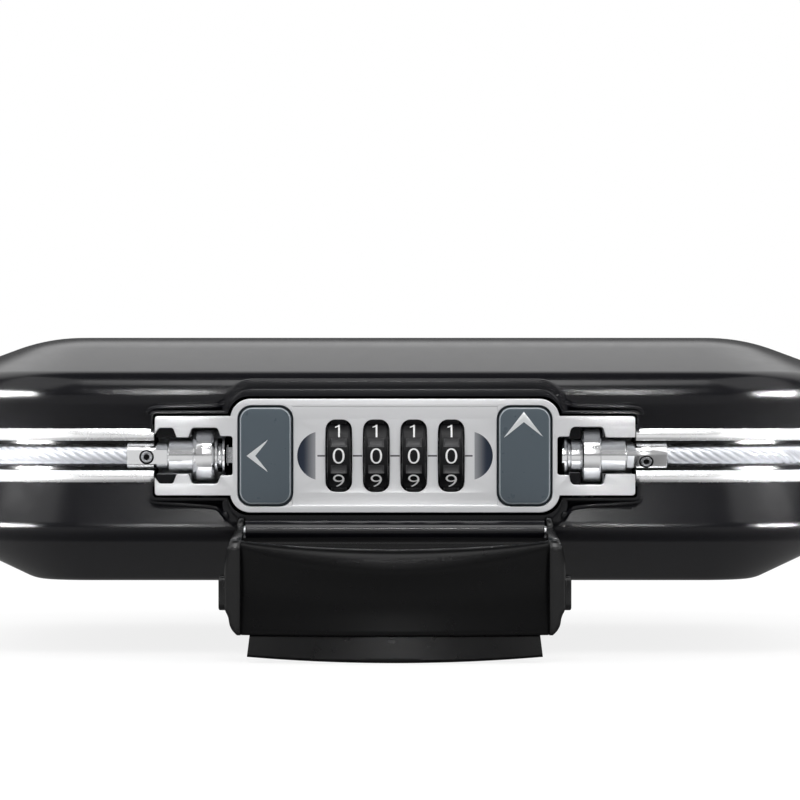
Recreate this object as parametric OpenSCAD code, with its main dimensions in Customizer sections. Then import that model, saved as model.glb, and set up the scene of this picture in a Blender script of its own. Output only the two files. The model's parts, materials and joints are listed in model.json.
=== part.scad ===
// Portable safe: two shells that open like a clam, a front lock with four number dials,
// a steel cable in a groove round the seam, and a carrying handle under the lock.
// Millimetres, +Z up, the lock faces -Y, origin at the centre of the flat base.

/* [Case] */
// Width of the case, side to side
body_w = 226; // [210:1:260]
// Depth of the two shells, front to back
body_d = 172; // [160:1:200]
// Height of the lower shell, base to seam
lower_h = 31.1; // [29:0.1:36]
// Height of the upper shell, seam to top
upper_h = 28.9; // [27:0.1:36]
// Radius of the case's corners in plan
corner_r = 38; // [36:1:40]
// Thickness of the shells
wall = 2.6; // [2:0.1:3]
// Width of the slope round the top
top_slope_w = 26.6; // [24:0.1:27]
// Angle of the slope round the top
top_slope = 20.4; // [16:0.2:22]
// Width of the slope round the base
base_slope_w = 23.6; // [18:0.1:26]
// Angle of the slope round the base
base_slope = 20.9; // [16:0.1:22]
// Radius where the top's slope turns into the wall
top_bulge_r = 5.2; // [5:0.1:7]
// Radius where the base's slope turns into the wall
base_bulge_r = 7; // [5:0.5:8]
// Radius between the flat top and its slope
top_knee_r = 46; // [6:1:46]
// Radius between the flat base and its slope
base_knee_r = 10; // [6:1:12]
// How far the wall draws in at the seam
waist_in = 3.2; // [2:0.1:4]

/* [Rims and seam] */
// Distance from the seam to each rim
rim_gap = 3.6; // [3.2:0.1:4]
// Height of each rim
rim_h = 3; // [2.4:0.1:3.4]
// Depth of the rims' faces behind the case's widest line
rim_in = 2.8; // [2.4:0.1:3.1]
// Depth of the groove's floor behind the widest line
groove_in = 8.8; // [8.6:0.1:9]
// Gap between the two shells at the seam
seam_gap = 0.3; // [0.2:0.05:0.5]
// Chamfer on the rims' outer edges
rim_chamfer = 0.5; // [0.3:0.1:0.8]

/* [Cable] */
// Diameter of the cable over its clear jacket
cable_d = 5.4; // [5:0.1:5.6]
// Diameter of the stranded steel core
core_d = 4.2; // [3.6:0.1:4.4]
// Depth of the cable's centre behind the case's widest line
cable_in = 5.2; // [5:0.1:5.4]

/* [Lock plate] */
// Half width of the faceplate between its wings
plate_x = 39.6; // [39.4:0.1:40.2]
// Half height of the faceplate
plate_z = 13.7; // [13.6:0.1:14.2]
// Corner radius of the faceplate
plate_r = 5; // [3:0.5:6]
// Half length of the faceplate over its wings
wing_x = 57.7; // [57:0.1:59]
// Half height of the wings
wing_z = 9.55; // [9.3:0.05:9.8]
// Thickness of the faceplate
plate_t = 2; // [1.6:0.1:2.2]
// How far the faceplate stands in front of the case's widest line
plate_out = 3.6; // [3:0.1:4.5]
// Width of the raised edge above and below the dials' panel
plate_rim = 1.9; // [1.6:0.1:2.2]
// Depth of the panel between the buttons
plate_sink = 0.3; // [0.2:0.1:0.5]
// Gap between the lock and the shells
lock_gap = 0.6; // [0.4:0.1:0.8]
// Half width of the black surround
surround_x = 41.7; // [41.2:0.1:44]
// Height of the surround above and below the seam
surround_z = 18.5; // [18:0.1:19]
// Height of the surround's raised inner step
surround_step_z = 16.3; // [15.6:0.1:17]
// How far the surround's raised step stands behind the faceplate
surround_back = 1.2; // [0.8:0.1:1.6]
// How far the surround's outer step stands behind the raised step
surround_step = 1.2; // [0.8:0.1:1.6]
// Width of the surround round the wings
wing_surround = 0.8; // [0.6:0.1:1.2]

/* [Dials] */
// Radius of a number dial
dial_r = 10.3; // [10:0.1:10.6]
// Width of a number dial
dial_w = 5.6; // [5.2:0.1:5.6]
// Distance from dial to dial
dial_pitch = 9; // [8.9:0.1:9.2]
// How far the dials stand in front of the faceplate
dial_out = 2; // [1.6:0.1:2.2]
// Width of a dial window
window_w = 6.3; // [5.8:0.1:6.6]
// Height of a dial window
window_h = 17.4; // [16:0.1:18]
// Corner radius of a dial window
window_r = 2.4; // [1:0.1:2.4]
// Radius of the dial shaft
shaft_r = 2; // [1.6:0.1:2.4]
// Radius of the sleeve in each dial
sleeve_r = 4.5; // [3.6:0.1:5.5]
// Running clearance of round moving parts
run_gap = 0.05; // [0.03:0.01:0.08]
// Side play between a dial and its spacers
spacer_gap = 0.3; // [0.2:0.05:0.5]

/* [Buttons] */
// Distance of the buttons' centres from the lock's centre
button_x = 31.1; // [30.9:0.1:31.2]
// Width of a button's hole
button_hole_w = 13.3; // [13:0.1:13.5]
// Height of a button's hole
button_hole_h = 24.2; // [23:0.1:24.4]
// Gap between a button and its hole
button_gap = 0.5; // [0.3:0.05:0.6]
// Corner radius of a button
button_r = 3; // [2:0.1:4]
// How far a button stands in front of the faceplate
button_out = 0.9; // [0.5:0.1:1.5]
// Travel of a button
button_travel = 2; // [1.5:0.1:2.4]
// Radius of a button's stem
stem_r = 1.8; // [1.5:0.1:2]

/* [Plugs] */
// Radius of the plugs' stems
plug_stem_r = 3.8; // [3.6:0.1:4]
// Radius of the plugs' collars
collar_r = 6.4; // [6:0.1:6.6]
// Radius of the plugs' noses
nose_r = 4.15; // [4:0.05:4.3]
// Radius of the ferrules
ferrule_r = 3.2; // [3.1:0.05:3.4]
// Length of a ferrule
ferrule_l = 9.9; // [9:0.1:11]
// Radius of the spigot on which a plug turns
spigot_r = 2.4; // [2.2:0.05:2.6]

/* [Handle] */
// Height of the handle's pivot below the seam
pivot_drop = 18.2; // [18:0.1:18.6]
// How far the pivot stands in front of the case's widest line
pivot_out = 4.2; // [4:0.1:5]
// Radius of the handle's pins
handle_pin_r = 1.5; // [1.2:0.1:1.8]
// Radius of the arms' eyes
eye_r = 3.4; // [3:0.1:3.6]
// Half distance between the handle's arms, inside
arm_x = 36.2; // [36:0.1:38]
// Half width over the handle's arms
arm_out_x = 40.2; // [40:0.1:43]
// How far the grip stands in front of the case's widest line
grip_out = 27; // [22:0.5:34]
// Drop of the grip's upper edge below the seam
grip_top = 19.8; // [19:0.1:21]
// Drop of the grip's lower edge below the seam
grip_bottom = 42; // [40:0.5:46]
// Thickness of the grip panel
grip_t = 3.6; // [3:0.1:4.2]
// Radius of the grip's bow in plan
bow_r = 150; // [120:5:200]
// Drop of the lip's lower edge below the seam
lip_bottom = 48.2; // [46:0.1:52]
// Half width of the lip
lip_x = 34.2; // [30:0.1:35.5]
// How far the lip flares forward
lip_flare = 2.6; // [1:0.1:4]

/* [Hinges] */
// Distance of each hinge from the centre
hinge_x = 55; // [45:1:60]
// Width of a hinge
hinge_w = 26; // [20:1:30]
// Radius of a hinge's barrel
barrel_r = 3.4; // [3:0.1:3.8]
// Radius of a hinge pin
hinge_pin_r = 1.6; // [1.2:0.1:2]
// How far the hinge line stands behind the case's widest line
hinge_out = 5.8; // [5.4:0.1:7]
// Thickness of a hinge leaf
leaf_t = 1.6; // [1.2:0.1:2]
// How far the leaves' pads stand behind the case's widest line
pad_out = 1; // [0.6:0.1:1.4]

/* [Linings] */
// Thickness of the foam linings
liner_t = 2; // [1.5:0.5:3]

/* [Hidden] */
$fn = 64;

e = 0.5;
big = 400;
seam = lower_h;
half_w = body_w / 2;
half_d = body_d / 2;
front = -half_d;
rear = half_d;
shelf_z = rim_gap + rim_h;
core_end = corner_r - 0.4;
plate_front = front - plate_out;
plate_back = plate_front + plate_t;
cable_y = front + cable_in;
notch_x = plate_x + lock_gap;
notch_z = plate_z + lock_gap;
wing_notch_x = wing_x + lock_gap;
wing_notch_z = wing_z + lock_gap;

// Housing behind the faceplate
housing_x = plate_x - 0.2;
housing_z = plate_z - 0.3;
housing_wing_x = wing_x - 0.3;
housing_wing_z = wing_z - 0.35;
housing_back = front + 24;
wing_back = front + 15;
chamber_gap = 0.3;
flange_lap = 0.3;
flange_t = 1.2;
dial_y = plate_front - dial_out + dial_r;
spacer_t = dial_pitch - dial_w - 2 * spacer_gap;
dial_chamber_x = 2 * dial_pitch + spacer_t / 2 + spacer_gap;
dial_chamber_z = dial_r + 0.9;
dial_chamber_back = dial_y + dial_r + 1;
flange_front = plate_back + 0.2;
flange_back = flange_front + flange_t;
spring_solid = 6.2;
button_chamber_back = flange_back + button_travel + spring_solid;
partition_t = 1.5;
works_front = button_chamber_back + partition_t;
works_x = [dial_chamber_x + 2.1, 34.5];
works_z = 11.5;
works_link_front = dial_chamber_back + 1.2;
cover_t = 1.5;

// Plug positions along X, measured from the lock's centre
left_collar = [-48.8, -43.6];
left_nose_end = -40.7;
left_groove = [-42.8, -41.8];
left_groove_r = 3;
left_stem_end = -54.7;
right_disc = [40, 41.7];
right_neck_r = 3.8;
right_collar = [45.1, 49.7];
right_stem_end = 55.7;
spigot_l = 4.6;
pocket_gap = 0.45;
channel_z = 4.4;
anchor_rib = [42.1, 44.6];
pocket_end = 39;
left_pocket = [49.1, 42];
left_pocket_z = 6.75;
left_nose_z = 4.7;
right_pocket = [50.1, 44.3];
right_pocket_z = 6.95;
right_nose_z = 4.6;
shaft_seat = 1.6;

// Height of the bulge's centre above the seam line of a half shell
function bulge_z(h, fw, s, b) = h - tan(s) * (fw - b) - b / cos(s);
function arc_pts(c, r, a0, a1, n) =
    [for (i = [0:n]) let (a = a0 + (a1 - a0) * i / n) [c[0] + r * cos(a), c[1] + r * sin(a)]];
// Angle at which the bulge runs into the straight wall above the rim
function wall_angle(b, zc) =
    let (dx = b - waist_in, dz = shelf_z - zc, d = sqrt(dx * dx + dz * dz))
    atan2(dz, dx) + acos(b / d);
// Curved part of a half shell's profile, from the wall to the flat
function crown_pts(h, fw, s, b, k, off) =
    let (zc = bulge_z(h, fw, s, b), aw = wall_angle(b, zc))
    concat(arc_pts([-b, zc], b - off, aw, 90 - s, 10),
           arc_pts([-fw - k * tan(s / 2), h - k], k - off, 90 - s, 90, 6));
// Depth of the inner wall's face at height z
function inner_wall_x(h, fw, s, b, z) =
    let (zc = bulge_z(h, fw, s, b), aw = wall_angle(b, zc),
         tx = -b + b * cos(aw), tz = zc + b * sin(aw),
         ix = -b + (b - wall) * cos(aw), iz = zc + (b - wall) * sin(aw))
    ix + (z - iz) * (-waist_in - tx) / (shelf_z - tz);
function outer_pts(h, fw, s, b, k) =
    concat([[-core_end, seam_gap / 2], [-groove_in, seam_gap / 2], [-groove_in, shelf_z],
            [-waist_in, shelf_z]],
           crown_pts(h, fw, s, b, k, 0), [[-core_end, h]]);
function inner_pts(h, fw, s, b, k) =
    let (zi = shelf_z + wall, gi = groove_in + wall)
    concat([[-core_end, -1], [-gi, -1], [-gi, zi], [inner_wall_x(h, fw, s, b, zi), zi]],
           crown_pts(h, fw, s, b, k, wall), [[-core_end, h - wall]]);

// Sweeps a flat shape, drawn with x = 0 on the case's widest line, round the case
module sweep() {
    for (a = [0, 180]) rotate([0, 0, a]) {
        translate([half_w, 0, 0]) rotate([90, 0, 0])
            linear_extrude(height = body_d - 2 * corner_r, center = true) children();
        translate([half_w - corner_r, half_d - corner_r, 0])
            rotate_extrude(angle = 90) translate([corner_r, 0]) children();
    }
    for (a = [90, 270]) rotate([0, 0, a]) {
        translate([half_d, 0, 0]) rotate([90, 0, 0])
            linear_extrude(height = body_w - 2 * corner_r, center = true) children();
        translate([half_d - corner_r, half_w - corner_r, 0])
            rotate_extrude(angle = 90) translate([corner_r, 0]) children();
    }
}
module round_rect(x, y, r) {
    square([2 * x - 2 * r, 2 * y], center = true);
    square([2 * x, 2 * y - 2 * r], center = true);
    for (sx = [-1, 1], sy = [-1, 1]) translate([sx * (x - r), sy * (y - r)]) circle(r = r);
}
// Block from x0, y0, z0 to x1, y1, z1
module block(x, y, z) {
    translate([x[0], y[0], z[0]]) cube([x[1] - x[0], y[1] - y[0], z[1] - z[0]]);
}
module core_block(z0, z1) {
    r = corner_r - core_end + e;
    translate([0, 0, z0]) linear_extrude(height = z1 - z0)
        round_rect(half_w - core_end + e, half_d - core_end + e, r);
}
module half_outer(h, fw, s, b, k) {
    sweep() polygon(outer_pts(h, fw, s, b, k));
    core_block(seam_gap / 2, h);
}
module half_inner(h, fw, s, b, k) {
    sweep() polygon(inner_pts(h, fw, s, b, k));
    core_block(-1, h - wall);
}
// Draws a flat XZ shape as a slab between two Y planes, z measured from the seam
module front_slab(y0, y1) {
    translate([0, y1, seam]) rotate([90, 0, 0]) linear_extrude(height = y1 - y0) children();
}
// Draws a flat YZ shape as a slab between two X planes, z measured from the seam
module side_slab(x0, x1) {
    translate([x0, 0, seam]) rotate([90, 0, 90]) linear_extrude(height = x1 - x0) children();
}
module rod_x(x0, x1, y, z, r) {
    translate([x0, y, z]) rotate([0, 90, 0]) cylinder(r = r, h = x1 - x0);
}
module rod_y(x, y0, y1, z, r) {
    translate([x, y0, z]) rotate([-90, 0, 0]) cylinder(r = r, h = y1 - y0);
}

// Lock outlines in the XZ plane
module lock_outline(x, z, wx, wz, r, wr) {
    round_rect(x, z, r);
    round_rect(wx, wz, wr);
}
module lock_notch() {
    front_slab(plate_front - 2, housing_back + 1)
        lock_outline(notch_x, notch_z, wing_notch_x, wing_notch_z, plate_r, 1);
}
surround_root = front + 6;
surround_lip = 1.4;
module surround() {
    step_y = plate_front + surround_back;
    difference() {
        union() {
            front_slab(step_y, surround_root)
                round_rect(surround_x - surround_lip, surround_step_z, 6);
            front_slab(step_y + surround_step, surround_root) {
                round_rect(surround_x, surround_z, 7);
                round_rect(wing_notch_x + wing_surround, wing_notch_z + wing_surround, 1.5);
            }
        }
        // The groove and the rims run in to the lock's wings
        front_slab(step_y - 1, surround_root + 1)
            square([2 * (wing_notch_x + wing_surround + 1), 2 * shelf_z], center = true);
    }
}

// Handle pivot line, z measured from the seam
pivot_y = front - pivot_out;
pivot_z = -pivot_drop;
hinge_block_r = 2.8;
hinge_block_x = arm_x - 0.4;
block_pin_depth = 10;

// Lock mounting columns on the lower shell
column_x = 46;
column_y = front + 19;
column_r = 4;
ear_t = 2.5;
pilot_r = 1.3;
pilot_l = 8;

// Hinge pads, leaves and screws
hinge_y = rear + hinge_out;
pad_y = rear + pad_out;
pad_z = [7.2, 16.5];
leaf_z = 16;
leaf_screw_z = 11.6;
leaf_screw_dx = 8;
leaf_screw_r = 1.4;

// Latch keepers hang from blocks under the lid
keeper_x = 30;
keeper_w = 6;
keeper_t = 1.5;
keeper_y = front + 15;
keeper_z = [5, 19];
keeper_block_y = [front + 9, keeper_y - keeper_t];
keeper_block_z = housing_z + 1.2;
keeper_screw_z = 17;
keeper_hole_z = [7, 10];
keeper_pilot_l = 4;

module lower_shell() {
    color("#141416") difference() {
        union() {
            difference() {
                union() {
                    translate([0, 0, seam]) mirror([0, 0, 1])
                        half_outer(lower_h, base_slope_w, base_slope, base_bulge_r, base_knee_r);
                    surround();
                    for (s = [-1, 1]) block([s * hinge_x - hinge_w / 2, s * hinge_x + hinge_w / 2],
                        [rear - 4, pad_y], [seam - pad_z[1], seam - pad_z[0]]);
                }
                translate([0, 0, seam]) mirror([0, 0, 1])
                    half_inner(lower_h, base_slope_w, base_slope, base_bulge_r, base_knee_r);
                translate([-big / 2, -big / 2, seam - seam_gap / 2]) cube([big, big, big]);
                lock_notch();
            }
            side_slab(-hinge_block_x, hinge_block_x) {
                translate([pivot_y, pivot_z]) circle(r = hinge_block_r);
                translate([pivot_y, pivot_z - hinge_block_r])
                    square([front + 2 - pivot_y, 2 * hinge_block_r]);
            }
            intersection() {
                for (s = [-1, 1]) translate([s * column_x, column_y, 0])
                    cylinder(r = column_r, h = seam - housing_z);
                translate([0, 0, seam]) mirror([0, 0, 1])
                    half_outer(lower_h, base_slope_w, base_slope, base_bulge_r, base_knee_r);
            }
        }
        for (s = [-1, 1]) {
            translate([s * column_x, column_y, seam - housing_z - pilot_l])
                cylinder(r = pilot_r, h = pilot_l + 1);
        }
        for (m = [0, 1]) mirror([m, 0, 0]) {
            rod_x(hinge_block_x - block_pin_depth, hinge_block_x + e, pivot_y, seam + pivot_z,
                handle_pin_r + 0.02);
            rod_x(hinge_block_x, arm_out_x + 1, pivot_y, seam + pivot_z, eye_r + 0.4);
        }
        leaf_screw_holes(-1);
    }
}
module leaf_screw_holes(side) {
    for (s = [-1, 1], d = [-1, 1])
        rod_y(s * hinge_x + d * leaf_screw_dx, rear - 5, pad_y + e,
            seam + side * leaf_screw_z, leaf_screw_r + 0.02);
}

module upper_shell() {
    color("#161618") difference() {
        union() {
            difference() {
                union() {
                    translate([0, 0, seam])
                        half_outer(upper_h, top_slope_w, top_slope, top_bulge_r, top_knee_r);
                    surround();
                    for (s = [-1, 1]) block([s * hinge_x - hinge_w / 2, s * hinge_x + hinge_w / 2],
                        [rear - 4, pad_y], [seam + pad_z[0], seam + pad_z[1]]);
                }
                translate([0, 0, seam])
                    half_inner(upper_h, top_slope_w, top_slope, top_bulge_r, top_knee_r);
                translate([-big / 2, -big / 2, seam + seam_gap / 2 - big]) cube([big, big, big]);
                lock_notch();
            }
            intersection() {
                for (s = [-1, 1])
                    block([s * keeper_x - keeper_w / 2 - 1, s * keeper_x + keeper_w / 2 + 1],
                        keeper_block_y, [seam + keeper_block_z, seam + upper_h]);
                translate([0, 0, seam])
                    half_outer(upper_h, top_slope_w, top_slope, top_bulge_r, top_knee_r);
            }
        }
        for (s = [-1, 1]) rod_y(s * keeper_x, keeper_block_y[1] - keeper_pilot_l,
            keeper_block_y[1] + e,
            seam + keeper_screw_z, leaf_screw_r + 0.02);
        leaf_screw_holes(1);
    }
}

// Bright rim: a chamfered ring, open at the front where the lock's wings are
module rim_ring() {
    o = -rim_in;
    c = rim_chamfer;
    difference() {
        sweep() polygon([[-groove_in, rim_gap], [o - c, rim_gap], [o, rim_gap + c],
            [o, shelf_z - c], [o - c, shelf_z], [-groove_in, shelf_z]]);
        block([-wing_notch_x, wing_notch_x], [front - 1, front + groove_in + 1], [0, upper_h]);
    }
}
module upper_rim() {
    color("#d8dade") translate([0, 0, seam]) rim_ring();
}
module lower_rim() {
    color("#d8dade") translate([0, 0, seam]) mirror([0, 0, 1]) rim_ring();
}

// Foam sheets on the inside of the flat base and the flat top
liner_inset = 1.5;
module foam_sheet(inset) {
    linear_extrude(height = liner_t) round_rect(half_w - inset, half_d - inset, 6);
}
module lower_liner() {
    color("#2b2d30") translate([0, 0, wall])
        foam_sheet(base_slope_w + base_knee_r * tan(base_slope / 2) + liner_inset);
}
module upper_liner() {
    color("#2b2d30") translate([0, 0, seam + upper_h - wall - liner_t])
        foam_sheet(top_slope_w + top_knee_r * tan(top_slope / 2) + liner_inset);
}

// Rear hinges: each half has a leaf screwed to its shell and its share of the barrel
module leaf_profile(side) {
    translate([hinge_y, 0]) circle(r = barrel_r);
    translate([pad_y, side > 0 ? 2 : -leaf_z]) square([leaf_t, leaf_z - 2]);
    translate([pad_y, side > 0 ? 2 : -6]) square([hinge_y - pad_y - 1, 4]);
}
module knuckles(spans, side) {
    for (s = [-1, 1]) difference() {
        union() {
            for (k = spans) side_slab(s * hinge_x + k[0], s * hinge_x + k[1]) leaf_profile(side);
            side_slab(s * hinge_x - hinge_w / 2, s * hinge_x + hinge_w / 2)
                translate([pad_y, side > 0 ? 7 : -leaf_z]) square([leaf_t, leaf_z - 7]);
        }
        rod_x(s * hinge_x - hinge_w, s * hinge_x + hinge_w, hinge_y, seam,
            hinge_pin_r + run_gap);
        for (d = [-1, 1]) rod_y(s * hinge_x + d * leaf_screw_dx, pad_y - e, pad_y + leaf_t + e,
            seam + side * leaf_screw_z, leaf_screw_r + 0.2);
    }
}
knuckle_gap = 0.3;
middle_half = 4;
module hinge_leaves_lower() {
    color("#3a3c40") knuckles([[-hinge_w / 2, -middle_half - knuckle_gap],
        [middle_half + knuckle_gap, hinge_w / 2]], -1);
}
module hinge_leaves_upper() {
    color("#3a3c40") knuckles([[-middle_half, middle_half]], 1);
}
module hinge_pins() {
    color("#b8bbc0") for (s = [-1, 1])
        rod_x(s * hinge_x - hinge_w / 2, s * hinge_x + hinge_w / 2, hinge_y, seam, hinge_pin_r);
}
module leaf_screws(side) {
    for (s = [-1, 1], d = [-1, 1]) {
        rod_y(s * hinge_x + d * leaf_screw_dx, rear - 4.5, pad_y + leaf_t,
            seam + side * leaf_screw_z, leaf_screw_r);
        rod_y(s * hinge_x + d * leaf_screw_dx, pad_y + leaf_t, pad_y + leaf_t + 1,
            seam + side * leaf_screw_z, 2 * leaf_screw_r);
    }
}
module hinge_screws_lower() {
    color("#9a9da2") leaf_screws(-1);
}
module hinge_screws_upper() {
    color("#9a9da2") leaf_screws(1);
}

// Faceplate with its windows, button holes and open channels for the plugs
scoop_x = 17.6;
scoop_r = 5.9;
scoop_depth = 1.2;
scoop_inner_x = 19.1;
trapezoid_x = [52.4, 53.4];
trapezoid_z = 6.8;
pocket_r = 1.2;
module channel_outline(collar, nose_end, nose_half, collar_half) {
    square_x([wing_x + 1, collar[0] - pocket_r], channel_z);
    translate([(collar[0] + collar[1]) / 2, 0])
        round_rect((collar[0] - collar[1]) / 2, collar_half, pocket_r);
    translate([(collar[0] + nose_end) / 2, 0])
        round_rect((collar[0] - nose_end) / 2, nose_half, pocket_r / 2);
}
// Rectangle between two X values, half height z, on either side of the centre
module square_x(x, z) {
    lo = min(x[0], x[1]);
    hi = max(x[0], x[1]);
    translate([lo, -z]) square([hi - lo, 2 * z]);
}
module left_channel() {
    mirror([1, 0]) {
        channel_outline(left_pocket, pocket_end, left_nose_z, left_pocket_z);
        for (m = [0, 1]) mirror([0, m]) polygon([[wing_x + 1, 0], [trapezoid_x[0], 0],
            [trapezoid_x[0], channel_z], [trapezoid_x[1], trapezoid_z], [wing_x + 1, trapezoid_z]]);
    }
}
module right_channel() {
    channel_outline(right_pocket, pocket_end, right_nose_z, right_pocket_z);
}
module button_holes() {
    for (s = [-1, 1]) translate([s * button_x, 0])
        round_rect(button_hole_w / 2, button_hole_h / 2, button_r + button_gap / 2);
}
module windows() {
    for (i = [-1.5:1:1.5]) translate([i * dial_pitch, 0])
        round_rect(window_w / 2, window_h / 2, window_r);
}
// Relief behind each window, where the dial's rim curves away past its ends
window_lip = 0.8;
module window_relief() {
    for (i = [-1.5:1:1.5]) translate([i * dial_pitch, 0])
        square([window_w, window_h + 1.2], center = true);
}
module lock_faceplate() {
    color("#cfd1d4") difference() {
        front_slab(plate_front, plate_back)
            lock_outline(plate_x, plate_z, wing_x, wing_z, plate_r, 0.8);
        front_slab(plate_front - 1, plate_front + plate_sink)
            round_rect(button_x - button_hole_w / 2 + 0.1, plate_z - plate_rim, 0.5);
        front_slab(plate_front - 1, plate_back + 1) {
            left_channel();
            right_channel();
            button_holes();
            windows();
        }
        front_slab(plate_front + window_lip, plate_back + 1) window_relief();
        for (m = [0, 1]) mirror([m, 0, 0]) intersection() {
            rod_y(scoop_x, plate_front - 1, plate_back, seam, scoop_r);
            translate([0, 0, seam - scoop_r]) linear_extrude(height = 2 * scoop_r)
                polygon([[scoop_inner_x, plate_front + plate_sink - 1],
                    [scoop_inner_x, plate_front + plate_sink],
                    [scoop_x + scoop_r + 1, plate_front + plate_sink + scoop_depth],
                    [scoop_x + scoop_r + 1, plate_front + plate_sink - 1]]);
        }
    }
}

// Housing: a die-cast box behind the faceplate, open at the back
ear_x = 52;
ear_half = 5;
module plug_pockets() {
    // Left: stem channel, collar pocket, nose pocket
    trough(-housing_wing_x - 1, left_collar[0] - pocket_gap, channel_z);
    trough(left_collar[0] - pocket_gap, left_collar[1] + pocket_gap + 1.1, collar_r + 0.35);
    trough(left_collar[1], -pocket_end, nose_r + 0.55);
    // Right: stem channel, collar pocket, anchor rib, disc pocket
    trough(right_collar[1] + pocket_gap, housing_wing_x + 1, channel_z);
    trough(anchor_rib[1], right_collar[1] + pocket_gap, collar_r + 0.55);
    trough(pocket_end, anchor_rib[0], nose_r + 0.6);
    trough(anchor_rib[0] - e, anchor_rib[1] + e, right_neck_r + 0.3);
}
module trough(x0, x1, r) {
    rod_x(x0, x1, cable_y, seam, r);
    block([x0, x1], [plate_back - 1, cable_y], [seam - r, seam + r]);
}
module keeper_slots() {
    for (s = [-1, 1]) block([s * keeper_x - keeper_w / 2 - e, s * keeper_x + keeper_w / 2 + e],
        [keeper_y - keeper_t - 0.7, keeper_y + 1.4], [seam + works_z - 1, seam + housing_z + 1]);
}
catch_z = 2.5;
catch_back = wing_back - 1.2;
catch_t = 1.3;
module lock_housing() {
    color("#26282b") difference() {
        union() {
            front_slab(plate_back, housing_back) round_rect(housing_x, housing_z, plate_r - 0.2);
            front_slab(plate_back, wing_back) round_rect(housing_wing_x, housing_wing_z, 0.6);
            for (s = [-1, 1]) block(s > 0 ? [housing_x - 2, ear_x] : [-ear_x, 2 - housing_x],
                [column_y - ear_half, column_y + ear_half],
                [seam - housing_z, seam - housing_z + ear_t]);
        }
        block([-dial_chamber_x, dial_chamber_x], [plate_back - 1, dial_chamber_back],
            [seam - dial_chamber_z, seam + dial_chamber_z]);
        for (s = [-1, 1]) {
            front_slab(plate_back - 1, button_chamber_back) translate([s * button_x, 0])
                round_rect(button_hole_w / 2 + flange_lap + chamber_gap,
                    button_hole_h / 2 + flange_lap + chamber_gap, button_r);
            block(s > 0 ? works_x : [-works_x[1], -works_x[0]], [works_front, housing_back + 1],
                [seam - works_z, seam + works_z]);
            translate([s * column_x, column_y, seam - housing_z - 1])
                cylinder(r = pilot_r + 0.3, h = ear_t + 2);
        }
        block([-works_x[1], works_x[1]], [works_link_front, housing_back + 1],
            [seam - works_z, seam + works_z]);
        rod_y(-button_x, button_chamber_back - 1, works_front + 1, seam, stem_r + 0.3);
        rod_y(button_x, button_chamber_back - 1, works_front + 1, seam + lid_stem_z, stem_r + 0.3);
        plug_pockets();
        block([-43.6, -40.5], [cable_y + 2.2, catch_back],
            [seam - catch_z - 0.5, seam + catch_z + 0.5]);
        block([-43.6, 1 - works_x[1]], [works_front, catch_back],
            [seam - catch_z - 0.5, seam + catch_z + 0.5]);
        keeper_slots();
        rod_x(-dial_chamber_x - shaft_seat, dial_chamber_x + shaft_seat, dial_y, seam, shaft_r);
        for (p = cover_screw_xz) rod_y(p[0], housing_back - cover_pilot_l, housing_back + 1,
            seam + p[1], pilot_r);
    }
}
cover_pilot_l = 6;
cover_screw_xz = [[-37, -8], [-37, 8], [37, -8], [37, 8]];

lid_stem_z = -4;
tab_slot_x = [-5, 5];
tab_slot_z = 2;
module lock_back_cover() {
    color("#8f9296") difference() {
        front_slab(housing_back, housing_back + cover_t)
            round_rect(housing_x, housing_z, plate_r - 0.2);
        block(tab_slot_x, [housing_back - 1, housing_back + cover_t + 1],
            [seam - tab_slot_z, seam + tab_slot_z]);
        for (p = cover_screw_xz) rod_y(p[0], housing_back - 1, housing_back + cover_t + 1,
            seam + p[1], pilot_r + 0.2);
    }
}
screw_head_r = 2.6;
screw_head_t = 1.2;
module back_cover_screws() {
    color("#a4a7ab") for (p = cover_screw_xz) {
        rod_y(p[0], housing_back - cover_pilot_l + 0.2, housing_back + cover_t, seam + p[1],
            pilot_r - run_gap);
        rod_y(p[0], housing_back + cover_t, housing_back + cover_t + screw_head_t, seam + p[1],
            screw_head_r);
    }
}
module lock_mount_screws() {
    ear_top = seam - housing_z + ear_t;
    color("#a4a7ab") for (s = [-1, 1]) translate([s * column_x, column_y, 0]) {
        translate([0, 0, ear_top - pilot_l]) cylinder(r = pilot_r - run_gap, h = pilot_l);
        translate([0, 0, ear_top]) cylinder(r = screw_head_r, h = screw_head_t);
    }
}

// Number dials on sleeves, on one shaft, with spacers between
spacer_r = 6;
module spin_x(pts) {
    rotate([0, 90, 0]) rotate_extrude() polygon(pts);
}
module dial_shaft() {
    color("#b0b3b8") rod_x(0.1 - dial_chamber_x - shaft_seat, dial_chamber_x + shaft_seat - 0.1,
        dial_y, seam, shaft_r - 0.02);
}
module dial_spacers() {
    color("#6d7074") for (i = [-2:1:2]) difference() {
        rod_x(i * dial_pitch - spacer_t / 2, i * dial_pitch + spacer_t / 2, dial_y, seam,
            spacer_r);
        rod_x(i * dial_pitch - dial_pitch / 2, i * dial_pitch + dial_pitch / 2, dial_y, seam,
            shaft_r);
    }
}
dial_chamfer = 0.5;
digit_step = 36;
knurl_w = 2.2;
knurl_d = 0.45;
module dial(i) {
    w = dial_w / 2;
    c = dial_chamfer;
    color("#0c0c0d") translate([(i - 2.5) * dial_pitch, dial_y, seam]) difference() {
        spin_x([[sleeve_r + 0.02, -w], [dial_r - c, -w], [dial_r, c - w], [dial_r, w - c],
            [dial_r - c, w], [sleeve_r + 0.02, w]]);
        for (k = [0:9]) rotate([digit_step * (k + 0.5), 0, 0])
            translate([-w - 1, -knurl_w / 2, dial_r - knurl_d]) cube([2 * w + 2, knurl_w, 2]);
    }
}
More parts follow.
